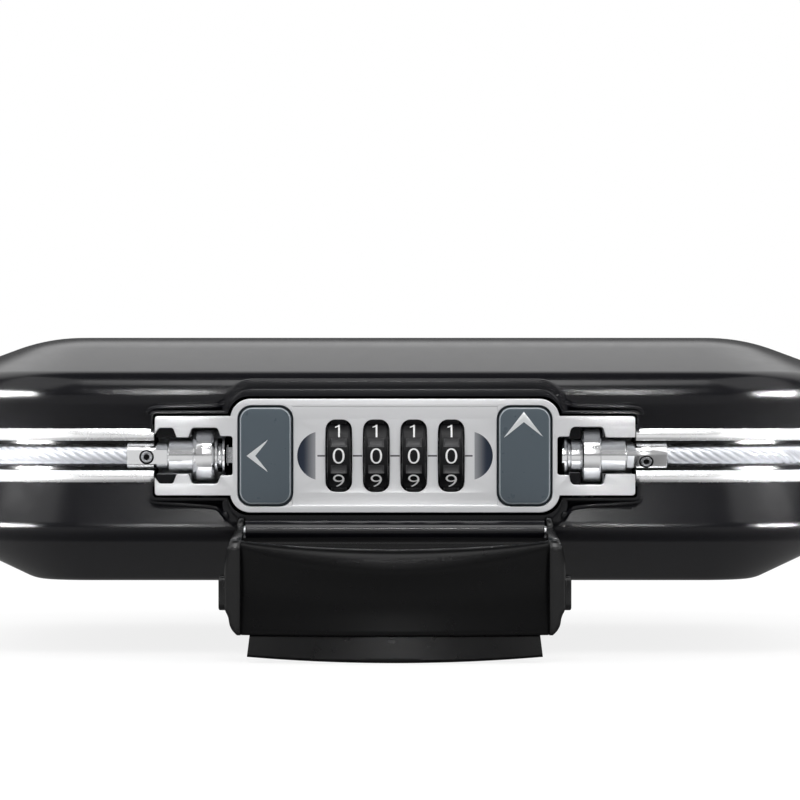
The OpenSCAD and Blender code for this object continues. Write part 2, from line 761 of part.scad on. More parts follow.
module dial_sleeve(i) {
    x = (i - 2.5) * dial_pitch;
    color("#84878b") difference() {
        rod_x(x - dial_w / 2, x + dial_w / 2, dial_y, seam, sleeve_r);
        rod_x(x - dial_w, x + dial_w, dial_y, seam, shaft_r - 0.02 + run_gap);
    }
}
module dial_1() { dial(1); }
module dial_2() { dial(2); }
module dial_3() { dial(3); }
module dial_4() { dial(4); }
module dial_sleeve_1() { dial_sleeve(1); }
module dial_sleeve_2() { dial_sleeve(2); }
module dial_sleeve_3() { dial_sleeve(3); }
module dial_sleeve_4() { dial_sleeve(4); }

// Detent spring: one plate behind the dials with a rounded rib on each dial's line
detent_t = 0.4;
detent_gap = 0.3;
module detent_spring() {
    plate_y = dial_chamber_back - detent_t;
    rib_y = dial_y + dial_r + detent_gap;
    color("#c2c5c9") {
        block([2 - dial_chamber_x, dial_chamber_x - 2], [plate_y, dial_chamber_back],
            [seam - 8, seam + 8]);
        for (i = [-1.5:1:1.5]) block([i * dial_pitch - 2, i * dial_pitch + 2],
            [rib_y, plate_y], [seam - 0.6, seam + 0.6]);
    }
}

// Push buttons: cap, retaining flange and stem
catch_front = cable_y + nose_r + 0.45;
latch_front = works_link_front + 0.3;
module button(x, stem_z, stem_end) {
    front_slab(plate_front - button_out, flange_front) translate([x, 0])
        round_rect(button_hole_w / 2 - button_gap, button_hole_h / 2 - button_gap, button_r);
    front_slab(flange_front, flange_back) translate([x, 0])
        round_rect(button_hole_w / 2 + flange_lap, button_hole_h / 2 + flange_lap, button_r);
    rod_y(x, flange_back, stem_end, seam + stem_z, stem_r);
}
module cable_button() {
    color("#5d6872") button(-button_x, 0, catch_front);
}
module lid_button() {
    color("#5d6872") button(button_x, lid_stem_z, latch_front - 0.3);
}
module button_spring(x, z) {
    difference() {
        rod_y(x, flange_back + run_gap, button_chamber_back - run_gap, seam + z, stem_r + 1.2);
        rod_y(x, flange_back - 1, button_chamber_back + 1, seam + z, stem_r + 0.4);
    }
}
module cable_button_spring() {
    color("#b5b8bc") button_spring(-button_x, 0);
}
module lid_button_spring() {
    color("#b5b8bc") button_spring(button_x, lid_stem_z);
}
// Catch behind the left plug: its finger lies in the groove of the nose
module cable_catch() {
    color("#9da0a5") {
        block([left_groove[0] - 0.2, stem_r - button_x], [catch_front, catch_front + catch_t],
            [seam - catch_z, seam + catch_z]);
        block([left_groove[0] + 0.15, left_groove[1] - 0.15],
            [cable_y + left_groove_r + 0.3, catch_front], [seam - 1, seam + 1]);
    }
}
// Latch slide: two hooked plates joined by a bar behind the dials
latch_t = 1.5;
latch_x = [keeper_x - 4, works_x[1] - 0.4];
hook_x = 1.6;
hook_gap = 0.4;
module latch_slide() {
    color("#9da0a5") {
        block([-latch_x[1], latch_x[1]], [latch_front, latch_front + latch_t],
            [seam - 3, seam + 3]);
        for (s = [-1, 1]) {
            block(s > 0 ? latch_x : [-latch_x[1], -latch_x[0]],
                [latch_front, latch_front + latch_t],
                [seam + lid_stem_z - 3, seam + keeper_hole_z[1]]);
            block([s * keeper_x - hook_x, s * keeper_x + hook_x],
                [keeper_y + 0.7, latch_front],
                [seam + keeper_hole_z[0] + hook_gap, seam + keeper_hole_z[1] - hook_gap]);
        }
    }
}
module latch_keepers() {
    color("#b0b3b8") for (s = [-1, 1]) difference() {
        block([s * keeper_x - keeper_w / 2, s * keeper_x + keeper_w / 2],
            [keeper_y - keeper_t, keeper_y], [seam + keeper_z[0], seam + keeper_z[1]]);
        block([s * keeper_x - hook_x - 0.4, s * keeper_x + hook_x + 0.4],
            [keeper_y - keeper_t - 1, keeper_y + 1],
            [seam + keeper_hole_z[0], seam + keeper_hole_z[1]]);
        rod_y(s * keeper_x, keeper_y - keeper_t - 1, keeper_y + 1, seam + keeper_screw_z,
            leaf_screw_r + 0.1);
    }
}
module keeper_screws() {
    color("#a4a7ab") for (s = [-1, 1]) {
        rod_y(s * keeper_x, keeper_block_y[1] - keeper_pilot_l + 0.2, keeper_y,
            seam + keeper_screw_z, leaf_screw_r);
        rod_y(s * keeper_x, keeper_y, keeper_y + screw_head_t, seam + keeper_screw_z,
            screw_head_r - 0.6);
    }
}
// Tab in the back cover that frees the dials so that the code can be changed
tab_travel = 5;
module code_reset_tab() {
    color("#c9ccd0") {
        block([tab_slot_x[0] + 0.3, tab_slot_x[1] - 0.3 - tab_travel],
            [housing_back - 0.2, housing_back + cover_t + 1.2],
            [seam - tab_slot_z + 0.3, seam + tab_slot_z - 0.3]);
        block([tab_slot_x[0] - 3, tab_slot_x[1] + 2 - tab_travel],
            [housing_back - 1.4, housing_back - 0.2], [seam - 3.5, seam + 3.5]);
    }
}

// Cable: core and clear jacket in the groove, from ferrule to ferrule
ferrule_x = [-54.9, 55.9];
crimp_l = 1.1;
module cable_sweep(end_x) {
    difference() {
        translate([0, 0, seam]) sweep() children();
        block(end_x, [front - 1, cable_y + cable_d], [seam - cable_d, seam + cable_d]);
    }
}
module cable_core() {
    color("#c6c9cd")
        cable_sweep([ferrule_x[0] - crimp_l, ferrule_x[1] + crimp_l])
            translate([-cable_in, 0]) circle(r = core_d / 2);
}
module cable_jacket() {
    color("#e3e6ea")
        cable_sweep([ferrule_x[0] - ferrule_l, ferrule_x[1] + ferrule_l])
            translate([-cable_in, 0]) difference() {
                circle(r = cable_d / 2);
                circle(r = core_d / 2 + 0.02);
            }
}
// Ferrule crimped on the cable's end, with the spigot on which the plug turns
screw_spot = 2.42;
ferrule_flat = 2.7;
ferrule_screw_at = [-60, 60.7];
ferrule_screw_tilt = [8, 34];
grub_r = 1;
grub_head_r = 1.6;
grub_head_t = 0.36;
grub_socket_r = 0.65;
module ferrule(x, s, screw_x, tilt) {
    lo = s > 0 ? x : x - ferrule_l;
    difference() {
        union() {
            rod_x(lo, lo + ferrule_l, cable_y, seam, ferrule_r);
            rod_x(s > 0 ? x - spigot_l : x - 1, s > 0 ? x + 1 : x + spigot_l, cable_y, seam,
                spigot_r);
        }
        rod_x(s > 0 ? x + crimp_l : lo - 1, s > 0 ? lo + ferrule_l + 1 : x - crimp_l,
            cable_y, seam, core_d / 2 + 0.02);
        translate([screw_x, cable_y, seam]) rotate([tilt, 0, 0]) {
            block([-ferrule_l - 1, ferrule_l + 1], [-ferrule_r - 1, -ferrule_flat],
                [-ferrule_r, ferrule_r]);
            rod_y(0, -ferrule_r - 1, -screw_spot, 0, grub_head_r + 0.15);
            rod_y(0, -ferrule_r, 0, 0, grub_r + 0.02);
        }
    }
}
module left_ferrule() {
    color("#dfe1e4") ferrule(ferrule_x[0], -1, ferrule_screw_at[0], ferrule_screw_tilt[0]);
}
module right_ferrule() {
    color("#dfe1e4") ferrule(ferrule_x[1], 1, ferrule_screw_at[1], ferrule_screw_tilt[1]);
}
module ferrule_screws() {
    color("#8a8d91") for (i = [0, 1]) translate([ferrule_screw_at[i], cable_y, seam])
        rotate([ferrule_screw_tilt[i], 0, 0]) {
            difference() {
                rod_y(0, -screw_spot - grub_head_t, -screw_spot, 0, grub_head_r);
                rod_y(0, -screw_spot - 1, -screw_spot - 0.1, 0, grub_socket_r);
            }
            rod_y(0, -screw_spot, -core_d / 2 - 0.05, 0, grub_r);
        }
}
// Plugs: stem with the spigot's socket, collar with rounded edges, nose
collar_round = 1.3;
function collar_pts(r, x0, x1) =
    concat(arc_pts([r - collar_round, x0 + collar_round], collar_round, -90, 0, 5),
           arc_pts([r - collar_round, x1 - collar_round], collar_round, 0, 90, 5));
module left_plug() {
    g = left_groove;
    socket = ferrule_x[0] + spigot_l + 0.2;
    color("#dcdee1") translate([0, cable_y, seam]) spin_x(concat(
        [[0, socket], [spigot_r + run_gap, socket], [spigot_r + run_gap, left_stem_end],
         [plug_stem_r, left_stem_end], [plug_stem_r, left_collar[0]]],
        collar_pts(collar_r, left_collar[0], left_collar[1]),
        [[nose_r, left_collar[1]], [nose_r, g[0]], [left_groove_r, g[0]],
         [left_groove_r, g[1]], [nose_r, g[1]], [nose_r, left_nose_end - 0.4],
         [nose_r - 0.4, left_nose_end], [0, left_nose_end]]));
}
module right_plug() {
    socket = ferrule_x[1] - spigot_l - 0.2;
    disc_r = nose_r + 0.2;
    color("#dcdee1") translate([0, cable_y, seam]) spin_x(concat(
        [[0, right_disc[0]], [disc_r - 0.3, right_disc[0]], [disc_r, right_disc[0] + 0.3],
         [disc_r, right_disc[1]], [right_neck_r, right_disc[1]],
         [right_neck_r, right_collar[0]]],
        collar_pts(collar_r + 0.2, right_collar[0], right_collar[1]),
        [[plug_stem_r + 0.15, right_collar[1]], [plug_stem_r + 0.15, right_stem_end],
         [spigot_r + run_gap, right_stem_end], [spigot_r + run_gap, socket], [0, socket]]));
}

// Handle: two arms on pins, a broad bowed grip between them, a lip below it
function bow_y(x) = front - grip_out + bow_r - sqrt(bow_r * bow_r - x * x);
arm_end_y = bow_y(arm_x);
arm_eye_x = arm_out_x - 2.2;
cap_t = 1.4;
cap_y = [arm_end_y + 0.3, arm_end_y + 7.6];
cap_z = [-36.2, -28];
lug_back = front - 0.1;
screw_z = [-30.1, -34.1];
handle_screw_r = 1;
reach = 60;
handle_screw_head_r = 1.8;
handle_screw_head_x = arm_out_x - 1.6;
grip_screw_y = arm_end_y + grip_t / 2 + 0.6;
module arm_front_outline() {
    o = arm_out_x;
    polygon([[arm_x, pivot_z + eye_r + 1], [arm_eye_x - 0.6, pivot_z + eye_r + 1],
        [arm_eye_x + 0.2, pivot_z + 0.8], [o - 0.5, pivot_z - 3], [o, pivot_z - 7],
        [o, cap_z[0] - 0.2], [o - 0.9, cap_z[0] - 2], [o - 2.2, -grip_bottom + 1.4],
        [o - 3.4, -grip_bottom], [arm_x, -grip_bottom]]);
}
module arm_side_outline() {
    translate([pivot_y, pivot_z]) circle(r = eye_r);
    translate([pivot_y, pivot_z - eye_r - 0.4]) square([lug_back - pivot_y, 2.4]);
    polygon([[pivot_y - 2.6, pivot_z + 1.4], [arm_end_y + 1.8, 0.6 - grip_top],
        [arm_end_y - 0.6, -0.8 - grip_top], [arm_end_y - 1.2, -2 - grip_top],
        [arm_end_y - 1.2, -grip_bottom - 1], [arm_end_y + grip_t + 0.8, -grip_bottom - 1],
        [pivot_y + 2.4, pivot_z - 2.4]]);
}
module handle_frame() {
    color("#18181a") for (s = [0, 1]) mirror([s, 0, 0]) difference() {
        intersection() {
            front_slab(front - reach, front + reach) arm_front_outline();
            side_slab(arm_x, arm_out_x + 1) arm_side_outline();
        }
        rod_x(arm_x - 1, arm_out_x + 1, pivot_y, seam + pivot_z, handle_pin_r + run_gap);
        for (z = screw_z) {
            rod_x(arm_x - 1, arm_out_x + 1, grip_screw_y, seam + z, handle_screw_r + 0.05);
            rod_x(handle_screw_head_x, arm_out_x + 1, grip_screw_y, seam + z,
                handle_screw_head_r + 0.1);
        }
    }
}
grip_dish = 1.4;
grip_round = 1.5;
function dish_pts() =
    let (z0 = -grip_top - grip_round, z1 = -grip_bottom + 0.5, h = (z0 - z1) / 2,
         r = (h * h + grip_dish * grip_dish) / (2 * grip_dish), a = asin(h / r))
    arc_pts([bow_r + r - grip_dish, (z0 + z1) / 2], r, 180 - a, 180 + a, 10);
module bowed(pts) {
    intersection() {
        translate([0, front - grip_out + bow_r, seam]) rotate_extrude($fn = 360) polygon(pts);
        block([-arm_x, arm_x], [front - grip_out - 10, front], [-big / 4, seam]);
    }
}
module handle_grip() {
    color("#1b1b1d") difference() {
        bowed(concat(arc_pts([bow_r - grip_round, -grip_top - grip_round], grip_round, 90, 0, 5),
            dish_pts(),
            [[bow_r - 0.4, -grip_bottom], [bow_r - grip_t - grip_dish, -grip_bottom],
             [bow_r - grip_t - grip_dish, -grip_top - grip_round],
             [bow_r - grip_t - grip_dish + 1, -grip_top]]));
        for (s = [-1, 1], z = screw_z)
            rod_x(s > 0 ? arm_x - 6 : -arm_x - 1, s > 0 ? arm_x + 1 : 6 - arm_x,
                grip_screw_y, seam + z, handle_screw_r + 0.02);
    }
}
lip_t = 2.4;
lip_edge_r = 500;
lip_spread = 0.6;
module lip_outline() {
    a = asin((lip_x + lip_spread) / lip_edge_r);
    polygon(concat([[lip_x, -grip_bottom], [-lip_x, -grip_bottom]],
        arc_pts([0, lip_edge_r - lip_bottom], lip_edge_r, -90 - a, -90 + a, 12)));
}
module handle_lip() {
    top = -grip_bottom;
    low = -lip_bottom - 1;
    color("#242427") intersection() {
        bowed([[bow_r - grip_t, top], [bow_r - 0.8, top], [bow_r - 0.8 + lip_flare, low],
            [bow_r - 0.8 + lip_flare - lip_t, low]]);
        front_slab(front - reach, front) lip_outline();
    }
}
module handle_side_caps() {
    color("#101012") for (s = [0, 1]) mirror([s, 0, 0])
        side_slab(arm_out_x, arm_out_x + cap_t)
            translate([(cap_y[0] + cap_y[1]) / 2, (cap_z[0] + cap_z[1]) / 2])
                round_rect((cap_y[1] - cap_y[0]) / 2, (cap_z[1] - cap_z[0]) / 2, 1.6);
}
module handle_pins() {
    color("#b0b3b8") for (s = [0, 1]) mirror([s, 0, 0])
        rod_x(hinge_block_x - block_pin_depth, arm_eye_x - 0.6, pivot_y, seam + pivot_z,
            handle_pin_r);
}
module handle_screws() {
    color("#8a8d91") for (s = [0, 1], z = screw_z) mirror([s, 0, 0]) {
        rod_x(arm_x - 5.8, handle_screw_head_x, grip_screw_y, seam + z, handle_screw_r);
        rod_x(handle_screw_head_x, arm_out_x - 0.2, grip_screw_y, seam + z,
            handle_screw_head_r);
    }
}

lower_shell();
upper_shell();
lower_rim();
upper_rim();
lower_liner();
upper_liner();
hinge_leaves_lower();
hinge_leaves_upper();
hinge_pins();
hinge_screws_lower();
hinge_screws_upper();
lock_faceplate();
lock_housing();
lock_back_cover();
back_cover_screws();
lock_mount_screws();
dial_shaft();
dial_spacers();
detent_spring();
dial_1();
dial_2();
dial_3();
dial_4();
dial_sleeve_1();
dial_sleeve_2();
dial_sleeve_3();
dial_sleeve_4();
cable_button();
cable_catch();
cable_button_spring();
lid_button();
lid_button_spring();
latch_slide();
latch_keepers();
keeper_screws();
code_reset_tab();
cable_core();
cable_jacket();
left_ferrule();
right_ferrule();
ferrule_screws();
left_plug();
right_plug();
handle_frame();
handle_grip();
handle_lip();
handle_side_caps();
handle_pins();
handle_screws();
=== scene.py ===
import json
from math import acos, asin, atan2, copysign, cos, degrees, hypot, pi, radians, sin, sqrt, tan

import bmesh
import bpy
from mathutils import Matrix, Vector
from mathutils.bvhtree import BVHTree


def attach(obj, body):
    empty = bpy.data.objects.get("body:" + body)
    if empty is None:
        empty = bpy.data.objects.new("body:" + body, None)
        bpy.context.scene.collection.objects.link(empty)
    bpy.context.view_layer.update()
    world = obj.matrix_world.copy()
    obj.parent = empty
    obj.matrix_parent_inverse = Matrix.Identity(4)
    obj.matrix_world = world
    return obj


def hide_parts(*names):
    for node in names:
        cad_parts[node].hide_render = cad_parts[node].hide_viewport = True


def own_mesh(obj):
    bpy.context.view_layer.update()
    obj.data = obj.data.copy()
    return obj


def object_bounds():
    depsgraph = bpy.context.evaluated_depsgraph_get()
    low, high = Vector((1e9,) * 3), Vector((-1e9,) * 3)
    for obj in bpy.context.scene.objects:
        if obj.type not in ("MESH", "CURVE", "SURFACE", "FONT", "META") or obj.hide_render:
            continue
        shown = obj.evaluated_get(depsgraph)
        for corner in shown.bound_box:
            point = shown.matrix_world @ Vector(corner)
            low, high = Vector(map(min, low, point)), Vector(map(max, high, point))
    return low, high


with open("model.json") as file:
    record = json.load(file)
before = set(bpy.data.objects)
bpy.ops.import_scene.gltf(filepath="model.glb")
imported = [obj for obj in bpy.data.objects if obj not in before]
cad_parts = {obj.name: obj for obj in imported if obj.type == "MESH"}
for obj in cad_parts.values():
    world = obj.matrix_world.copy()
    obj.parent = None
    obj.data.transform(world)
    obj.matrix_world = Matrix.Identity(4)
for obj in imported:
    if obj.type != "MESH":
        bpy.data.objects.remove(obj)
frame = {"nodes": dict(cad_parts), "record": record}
cad_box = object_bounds()
nodes = frame["nodes"]
scene = bpy.context.scene
MM = 0.001

# The case, in millimetres; heights are from the seam unless they say otherwise
LOWER_H, UPPER_H = 31.1, 28.9
SEAM = LOWER_H
HALF_W, HALF_D, CORNER_R = 113.0, 86.0, 38.0
FRONT, REAR = -HALF_D, HALF_D
WALL = 2.6
# Height, inset of the flat, slope in degrees, radius of the bulge, radius at the flat's edge
TOP = dict(height=UPPER_H, flat=26.6, slope=20.4, bulge=6.2, edge=46.0)
BASE = dict(height=LOWER_H, flat=23.6, slope=25.5, bulge=4.2, edge=10.0)
SHELF, RIM_GAP, RIM_IN, GROOVE_IN, WAIST_IN = 6.6, 3.6, 2.8, 8.8, 3.2
SEAM_GAP, LIP = 0.3, 0.35
# The section of a shell ends this far from the widest line
CORE = CORNER_R - 0.4
CABLE_IN = 5.2
CABLE_Y = FRONT + CABLE_IN
PLATE_Y, PLATE_BACK = FRONT - 3.6, FRONT - 1.6
PLATE_X, PLATE_Z, WING_X, WING_Z = 39.6, 13.7, 57.7, 9.55
# The faceplate's field lies a little behind its rim
FIELD_Y = PLATE_Y + 0.3
NOTCH = 0.6
DIAL_R, DIAL_W, PITCH = 10.3, 5.6, 9.0
DIAL_Y = PLATE_Y - 2 + DIAL_R
BORE_R, RIDGE_DEPTH = 4.52, 0.55
BUTTON_X, HOLE_W, HOLE_H, HOLE_R = 31.1, 13.3, 24.2, 3.25
# The lid button's stem lies under the seam
STEM_Z = {"cable_button": 0, "lid_button": -4.0}
PIVOT_Y, PIVOT_Z = FRONT - 4.2, -18.2
ARM_X, ARM_OUT = 36.2, 40.2
GRIP_OUT, GRIP_TOP, GRIP_LOW, GRIP_T, BOW_R = 27.0, 19.8, 42.0, 3.6, 150.0
BOW_YC = FRONT - GRIP_OUT + BOW_R
HOUSING_BACK = FRONT + 24
HINGE_X, KEEPER_X, COLUMN_X = 55, 30, 46
# Piece, CAD node, both ends, and the place and tilt of the set screw
FERRULES = (("left_cable_ferrule", "left_ferrule", -64.8, -54.9, -60.0, 8),
            ("right_cable_ferrule", "right_ferrule", 55.9, 65.8, 60.7, 34))
FERRULE_R, SEAT_DEPTH = 3.2, 2.42


# Materials
def bsdf(m):
    return m.node_tree.nodes["Principled BSDF"]


def material(name, color, roughness, metallic=0.0, **sockets):
    m = bpy.data.materials.new(name + "_look")
    m.use_nodes = True
    b = bsdf(m)
    b.inputs["Base Color"].default_value = (*color, 1.0)
    b.inputs["Roughness"].default_value = roughness
    b.inputs["Metallic"].default_value = metallic
    for key, value in sockets.items():
        b.inputs[key.replace("_", " ")].default_value = value
    return m


def feed(m, source, socket):
    """Links a node's output to the material's main shader."""
    m.node_tree.links.new(source, bsdf(m).inputs[socket])


def shader(t, kind, *inputs):
    """A new shader node; each input is set to a value or linked to a socket."""
    n = t.nodes.new("ShaderNode" + kind)
    for key, v in inputs:
        if isinstance(v, bpy.types.NodeSocket):
            t.links.new(v, n.inputs[key])
        else:
            n.inputs[key].default_value = v
    return n


def noise(m, scale, stretch=(1, 1, 1), detail=3.0, rough=0.5):
    t = m.node_tree
    at = shader(t, "Mapping", ("Vector", shader(t, "TexCoord").outputs["Object"]),
                ("Scale", stretch))
    return shader(t, "TexNoise", ("Vector", at.outputs["Vector"]), ("Scale", scale),
                  ("Detail", detail), ("Roughness", rough)).outputs["Fac"]


def calc(t, op, a, b=0.0):
    """Math node over sockets or numbers."""
    n = shader(t, "Math", (0, a), (1, b))
    n.operation = op
    return n.outputs[0]


def mapped(t, value, a, b, lo, hi, curve="LINEAR"):
    """Maps a to b onto lo to hi."""
    n = shader(t, "MapRange", ("Value", value), ("From Min", a), ("From Max", b),
               ("To Min", lo), ("To Max", hi))
    n.interpolation_type = curve
    return n.outputs["Result"]


def smooth(t, value, a, b, lo=0.0, hi=1.0):
    return mapped(t, value, a, b, lo, hi, "SMOOTHSTEP")


def xyz(t, output):
    return shader(t, "SeparateXYZ", (0, shader(t, "TexCoord").outputs[output])).outputs


def bump(m, height, strength, distance=0.0001):
    n = shader(m.node_tree, "Bump", ("Strength", strength), ("Distance", distance),
               ("Height", height))
    feed(m, n.outputs["Normal"], "Normal")


def roughen(m, fac, lo, hi):
    """Lets the roughness follow the middle part of a noise."""
    feed(m, mapped(m.node_tree, fac, 0.3, 0.7, lo, hi), "Roughness")


def tint(m, fac, a, b, start=0.3, stop=0.7):
    r = shader(m.node_tree, "ValToRGB", ("Fac", fac))
    for i, (position, color) in enumerate(((start, a), (stop, b))):
        r.color_ramp.elements[i].position = position
        r.color_ramp.elements[i].color = (*color, 1)
    feed(m, r.outputs["Color"], "Base Color")


def grain(m, scale, lo, hi, fine=None, detail=3, depth=0.0):
    """Uneven roughness over one noise and a faint bump over a finer one."""
    roughen(m, noise(m, scale), lo, hi)
    if fine:
        bump(m, noise(m, fine, detail=detail), depth)
    return m


def satin_black(name, lo, hi, tone=0.010, depth=0.25, spec=0.4):
    return grain(material(name, (tone, tone, tone * 1.1), 0.4, Specular_IOR_Level=spec),
                 350, lo, hi, 2600, 4, depth)


def moulded(name, tone, lo=0.35, hi=0.55, depth=0.12, spec=0.5):
    return grain(material(name, tone, 0.45, Specular_IOR_Level=spec), 700, lo, hi, 3000, 3, depth)


def metal(name, tone, lo, hi, stretch=(1, 1, 1), scale=800, depth=0.05):
    m = material(name, tone, (lo + hi) / 2, 1.0)
    f = noise(m, scale, stretch)
    roughen(m, f, lo, hi)
    bump(m, f, depth)
    return m


def cast_housing(name):
    """Black coated casting whose cable pockets are left as bright zinc."""
    m = satin_black(name, 0.4, 0.55, 0.004, 0.1, 0.15)
    t = m.node_tree
    pos, nor = xyz(t, "Object"), xyz(t, "Normal")
    wall = calc(t, "LESS_THAN", calc(t, "ABSOLUTE", nor[1]), 0.8)
    outer = calc(t, "GREATER_THAN", calc(t, "ABSOLUTE", pos[0]), 0.041)
    height = calc(t, "ABSOLUTE", calc(t, "SUBTRACT", pos[2], SEAM * MM))
    mask = calc(t, "MULTIPLY", wall,
                calc(t, "MULTIPLY", outer, calc(t, "LESS_THAN", height, 0.0075)))
    tint(m, mask, (0.003, 0.003, 0.004), (0.8, 0.81, 0.83), 0.4, 0.6)
    feed(m, mask, "Metallic")
    return m


def scoop_with_painted_shade(name):
    """Satin metal with painted shade: its colour darkens towards the deep edge of the recess, where
    the steep wall lies in shade.
    """
    m = metal(name, (0.8, 0.8, 0.82), 0.34, 0.44, (0.03, 1, 1), 2500, 0.05)
    t = m.node_tree
    painted_shade = smooth(t, calc(t, "ABSOLUTE", xyz(t, "Object")[0]), 0.0186, 0.0222)
    tint(m, painted_shade, (0.42, 0.43, 0.45), (0.045, 0.055, 0.08), 0.0, 1.0)
    return m


def foam(name):
    m = material(name, (0.03, 0.031, 0.034), 0.95)
    tint(m, noise(m, 1400, detail=6), (0.018, 0.018, 0.02), (0.05, 0.052, 0.056))
    bump(m, noise(m, 2200, detail=6, rough=0.7), 0.8, 0.0006)
    return m


MATS = {
    "shell_black": grain(material("shell_black", (0.004, 0.004, 0.006), 0.2,
                                  Specular_IOR_Level=0.3), 250, 0.185, 0.225, 1800, 2, 0.008),
    "rim_bright": metal("rim_bright", (0.97, 0.972, 0.98), 0.26, 0.28, scale=400, depth=0.002),
    "foam_grey": foam("foam"),
    "hinge_black": satin_black("hinge", 0.3, 0.45, 0.02),
    "steel_pin": metal("steel", (0.66, 0.67, 0.69), 0.22, 0.34),
    "screw_steel": metal("screw", (0.38, 0.39, 0.41), 0.25, 0.38),
    "plate_satin": metal("plate", (0.84, 0.845, 0.86), 0.3, 0.38, (0.03, 1, 1), 2500, 0.03),
    "housing_dark": satin_black("housing", 0.45, 0.6, 0.012),
    "cover_zinc": metal("cover", (0.36, 0.37, 0.38), 0.4, 0.55),
    "inner_plastic": moulded("inner", (0.18, 0.19, 0.2)),
    "spring_steel": metal("spring", (0.62, 0.63, 0.65), 0.2, 0.3),
    "dial_black": moulded("dial", (0.003, 0.003, 0.004), 0.3, 0.4, 0.02, 0.2),
    "button_slate": grain(material("button", (0.08, 0.102, 0.121), 0.3,
                                   Specular_IOR_Level=0.35), 400, 0.27, 0.34),
    "tab_pale": moulded("tab", (0.6, 0.61, 0.62)),
    "cable_steel": metal("cable", (0.93, 0.935, 0.95), 0.3, 0.42, scale=900, depth=0.02),
    "cable_clear": material("jacket", (0.97, 0.98, 1.0), 0.05,
                            IOR=1.4, Transmission_Weight=1.0),
    "fitting_chrome": metal("chrome", (0.88, 0.885, 0.895), 0.12, 0.18,
                            scale=500, depth=0.005),
    "handle_black": satin_black("handle", 0.22, 0.26, 0.004, 0.001, 0.42),
    "grip_black": satin_black("grip", 0.27, 0.31, 0.003, 0.001, 0.14),
}
for sub in frame["record"]["subparts"]:
    for material_slot in nodes[sub["node"]].material_slots:
        material_slot.material = MATS[sub["material_slot"]]
for node, look in (("lock_housing", cast_housing("housing_pocket")),
                   ("latch_keepers", satin_black("keeper", 0.5, 0.6, 0.02)),
                   ("dial_shaft", metal("shaft", (0.1, 0.1, 0.105), 0.5, 0.6))):
    nodes[node].material_slots[0].material = look
PAINT = grain(material("white_figures", (0.85, 0.85, 0.85), 0.45), 3000, 0.4, 0.55)
ARROW = metal("arrow", (0.85, 0.87, 0.88), 0.3, 0.4)
MARK = moulded("mark", (0.12, 0.12, 0.13))
# Lighter slate for the buttons' bevels, a painted highlight along the cap's edge
BUTTON_EDGE_HIGHLIGHT = moulded("button_edge_highlight", (0.34, 0.38, 0.41), 0.2, 0.28, 0.02)
# Painted shade for the scoops beside the dials, darker towards their deep edge
SCOOP_PAINTED_SHADE = scoop_with_painted_shade("scoop_painted_shade")
SET_SCREW = metal("set_screw", (0.5, 0.51, 0.53), 0.22, 0.3)
SHADE = satin_black("screw_seat", 0.5, 0.6, 0.003, 0.05, 0.1)
# Grey for the grooves between a dial's figures, a painted sheen that stands for the highlight on
# the dial's ridges
RIDGE_SHEEN = moulded("dial_ridge", (0.06, 0.06, 0.063), 0.45, 0.6)


# Mesh helpers
def link(name, data):
    """A new object in the scene."""
    ob = bpy.data.objects.new(name, data)
    scene.collection.objects.link(ob)
    return ob


def to_mesh(bm, name="work"):
    """Turns a bmesh into a mesh and frees it."""
    me = bpy.data.meshes.new(name)
    bm.to_mesh(me)
    bm.free()
    return me


def from_mesh(me):
    """Turns a mesh into a bmesh and removes it."""
    bm = bmesh.new()
    bm.from_mesh(me)
    bpy.data.meshes.remove(me)
    return bm


def evaluated(ob):
    """Mesh of an object with its modifier or its curve settings applied."""
    dg = bpy.context.evaluated_depsgraph_get()
    return bpy.data.meshes.new_from_object(ob.evaluated_get(dg))


def curve_mesh(cu):
    """Filled curve as a mesh; removes the curve."""
    ob = link("work", cu)
    me = evaluated(ob)
    bpy.data.objects.remove(ob)
    bpy.data.curves.remove(cu)
    return me


def clean(bm):
    bmesh.ops.remove_doubles(bm, verts=bm.verts, dist=1e-5)
    bmesh.ops.recalc_face_normals(bm, faces=bm.faces)


def made(shape, *args):
    """A new bmesh that holds one shape."""
    bm = bmesh.new()
    shape(bm, *args)
    return bm


def add(name, bm, slot, body, replaced=(), angle=35, mat=None):
    """Scales the mesh from millimetres, gives it its look and its body."""
    clean(bm)
    me = to_mesh(bm, name)
    me.transform(Matrix.Scale(MM, 4))
    for p in me.polygons:
        p.use_smooth = True
    me.set_sharp_from_angle(angle=radians(angle))
    me.materials.append(mat or MATS[slot])
    ob = link(name, me)
    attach(ob, body)
    if replaced:
        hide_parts(*replaced)
    return ob


def paint_faces(ob, mat, test):
    """Gives a second look to the faces whose centre (mm from the seam) and normal pass the test."""
    ob.data.materials.append(mat)
    for p in ob.data.polygons:
        c = p.center / MM
        if test(c.x, c.y, c.z - SEAM, p.normal):
            p.material_index = 1


def arc(cx, cy, r, a0, a1, n):
    return [(cx + r * cos(radians(a0 + (a1 - a0) * i / n)),
             cy + r * sin(radians(a0 + (a1 - a0) * i / n))) for i in range(n + 1)]


def turns(n):
    """n angles evenly round a circle."""
    return [2 * pi * i / n for i in range(n)]


def round_rect(x, y, r, n=8):
    """Points of a rounded rectangle of half sizes x, y, counter-clockwise."""
    r = max(min(r, x - 1e-4, y - 1e-4), 1e-3)
    return (arc(x - r, y - r, r, 0, 90, n) + arc(r - x, y - r, r, 90, 180, n)
            + arc(r - x, r - y, r, 180, 270, n) + arc(x - r, r - y, r, 270, 360, n))


def mirror(pts, sx, sz):
    """The outline mirrored, in reverse order."""
    return [(sx * x, sz * z) for x, z in pts[::-1]]


def shift(pts, dx, dz=0):
    return [(x + dx, z + dz) for x, z in pts]


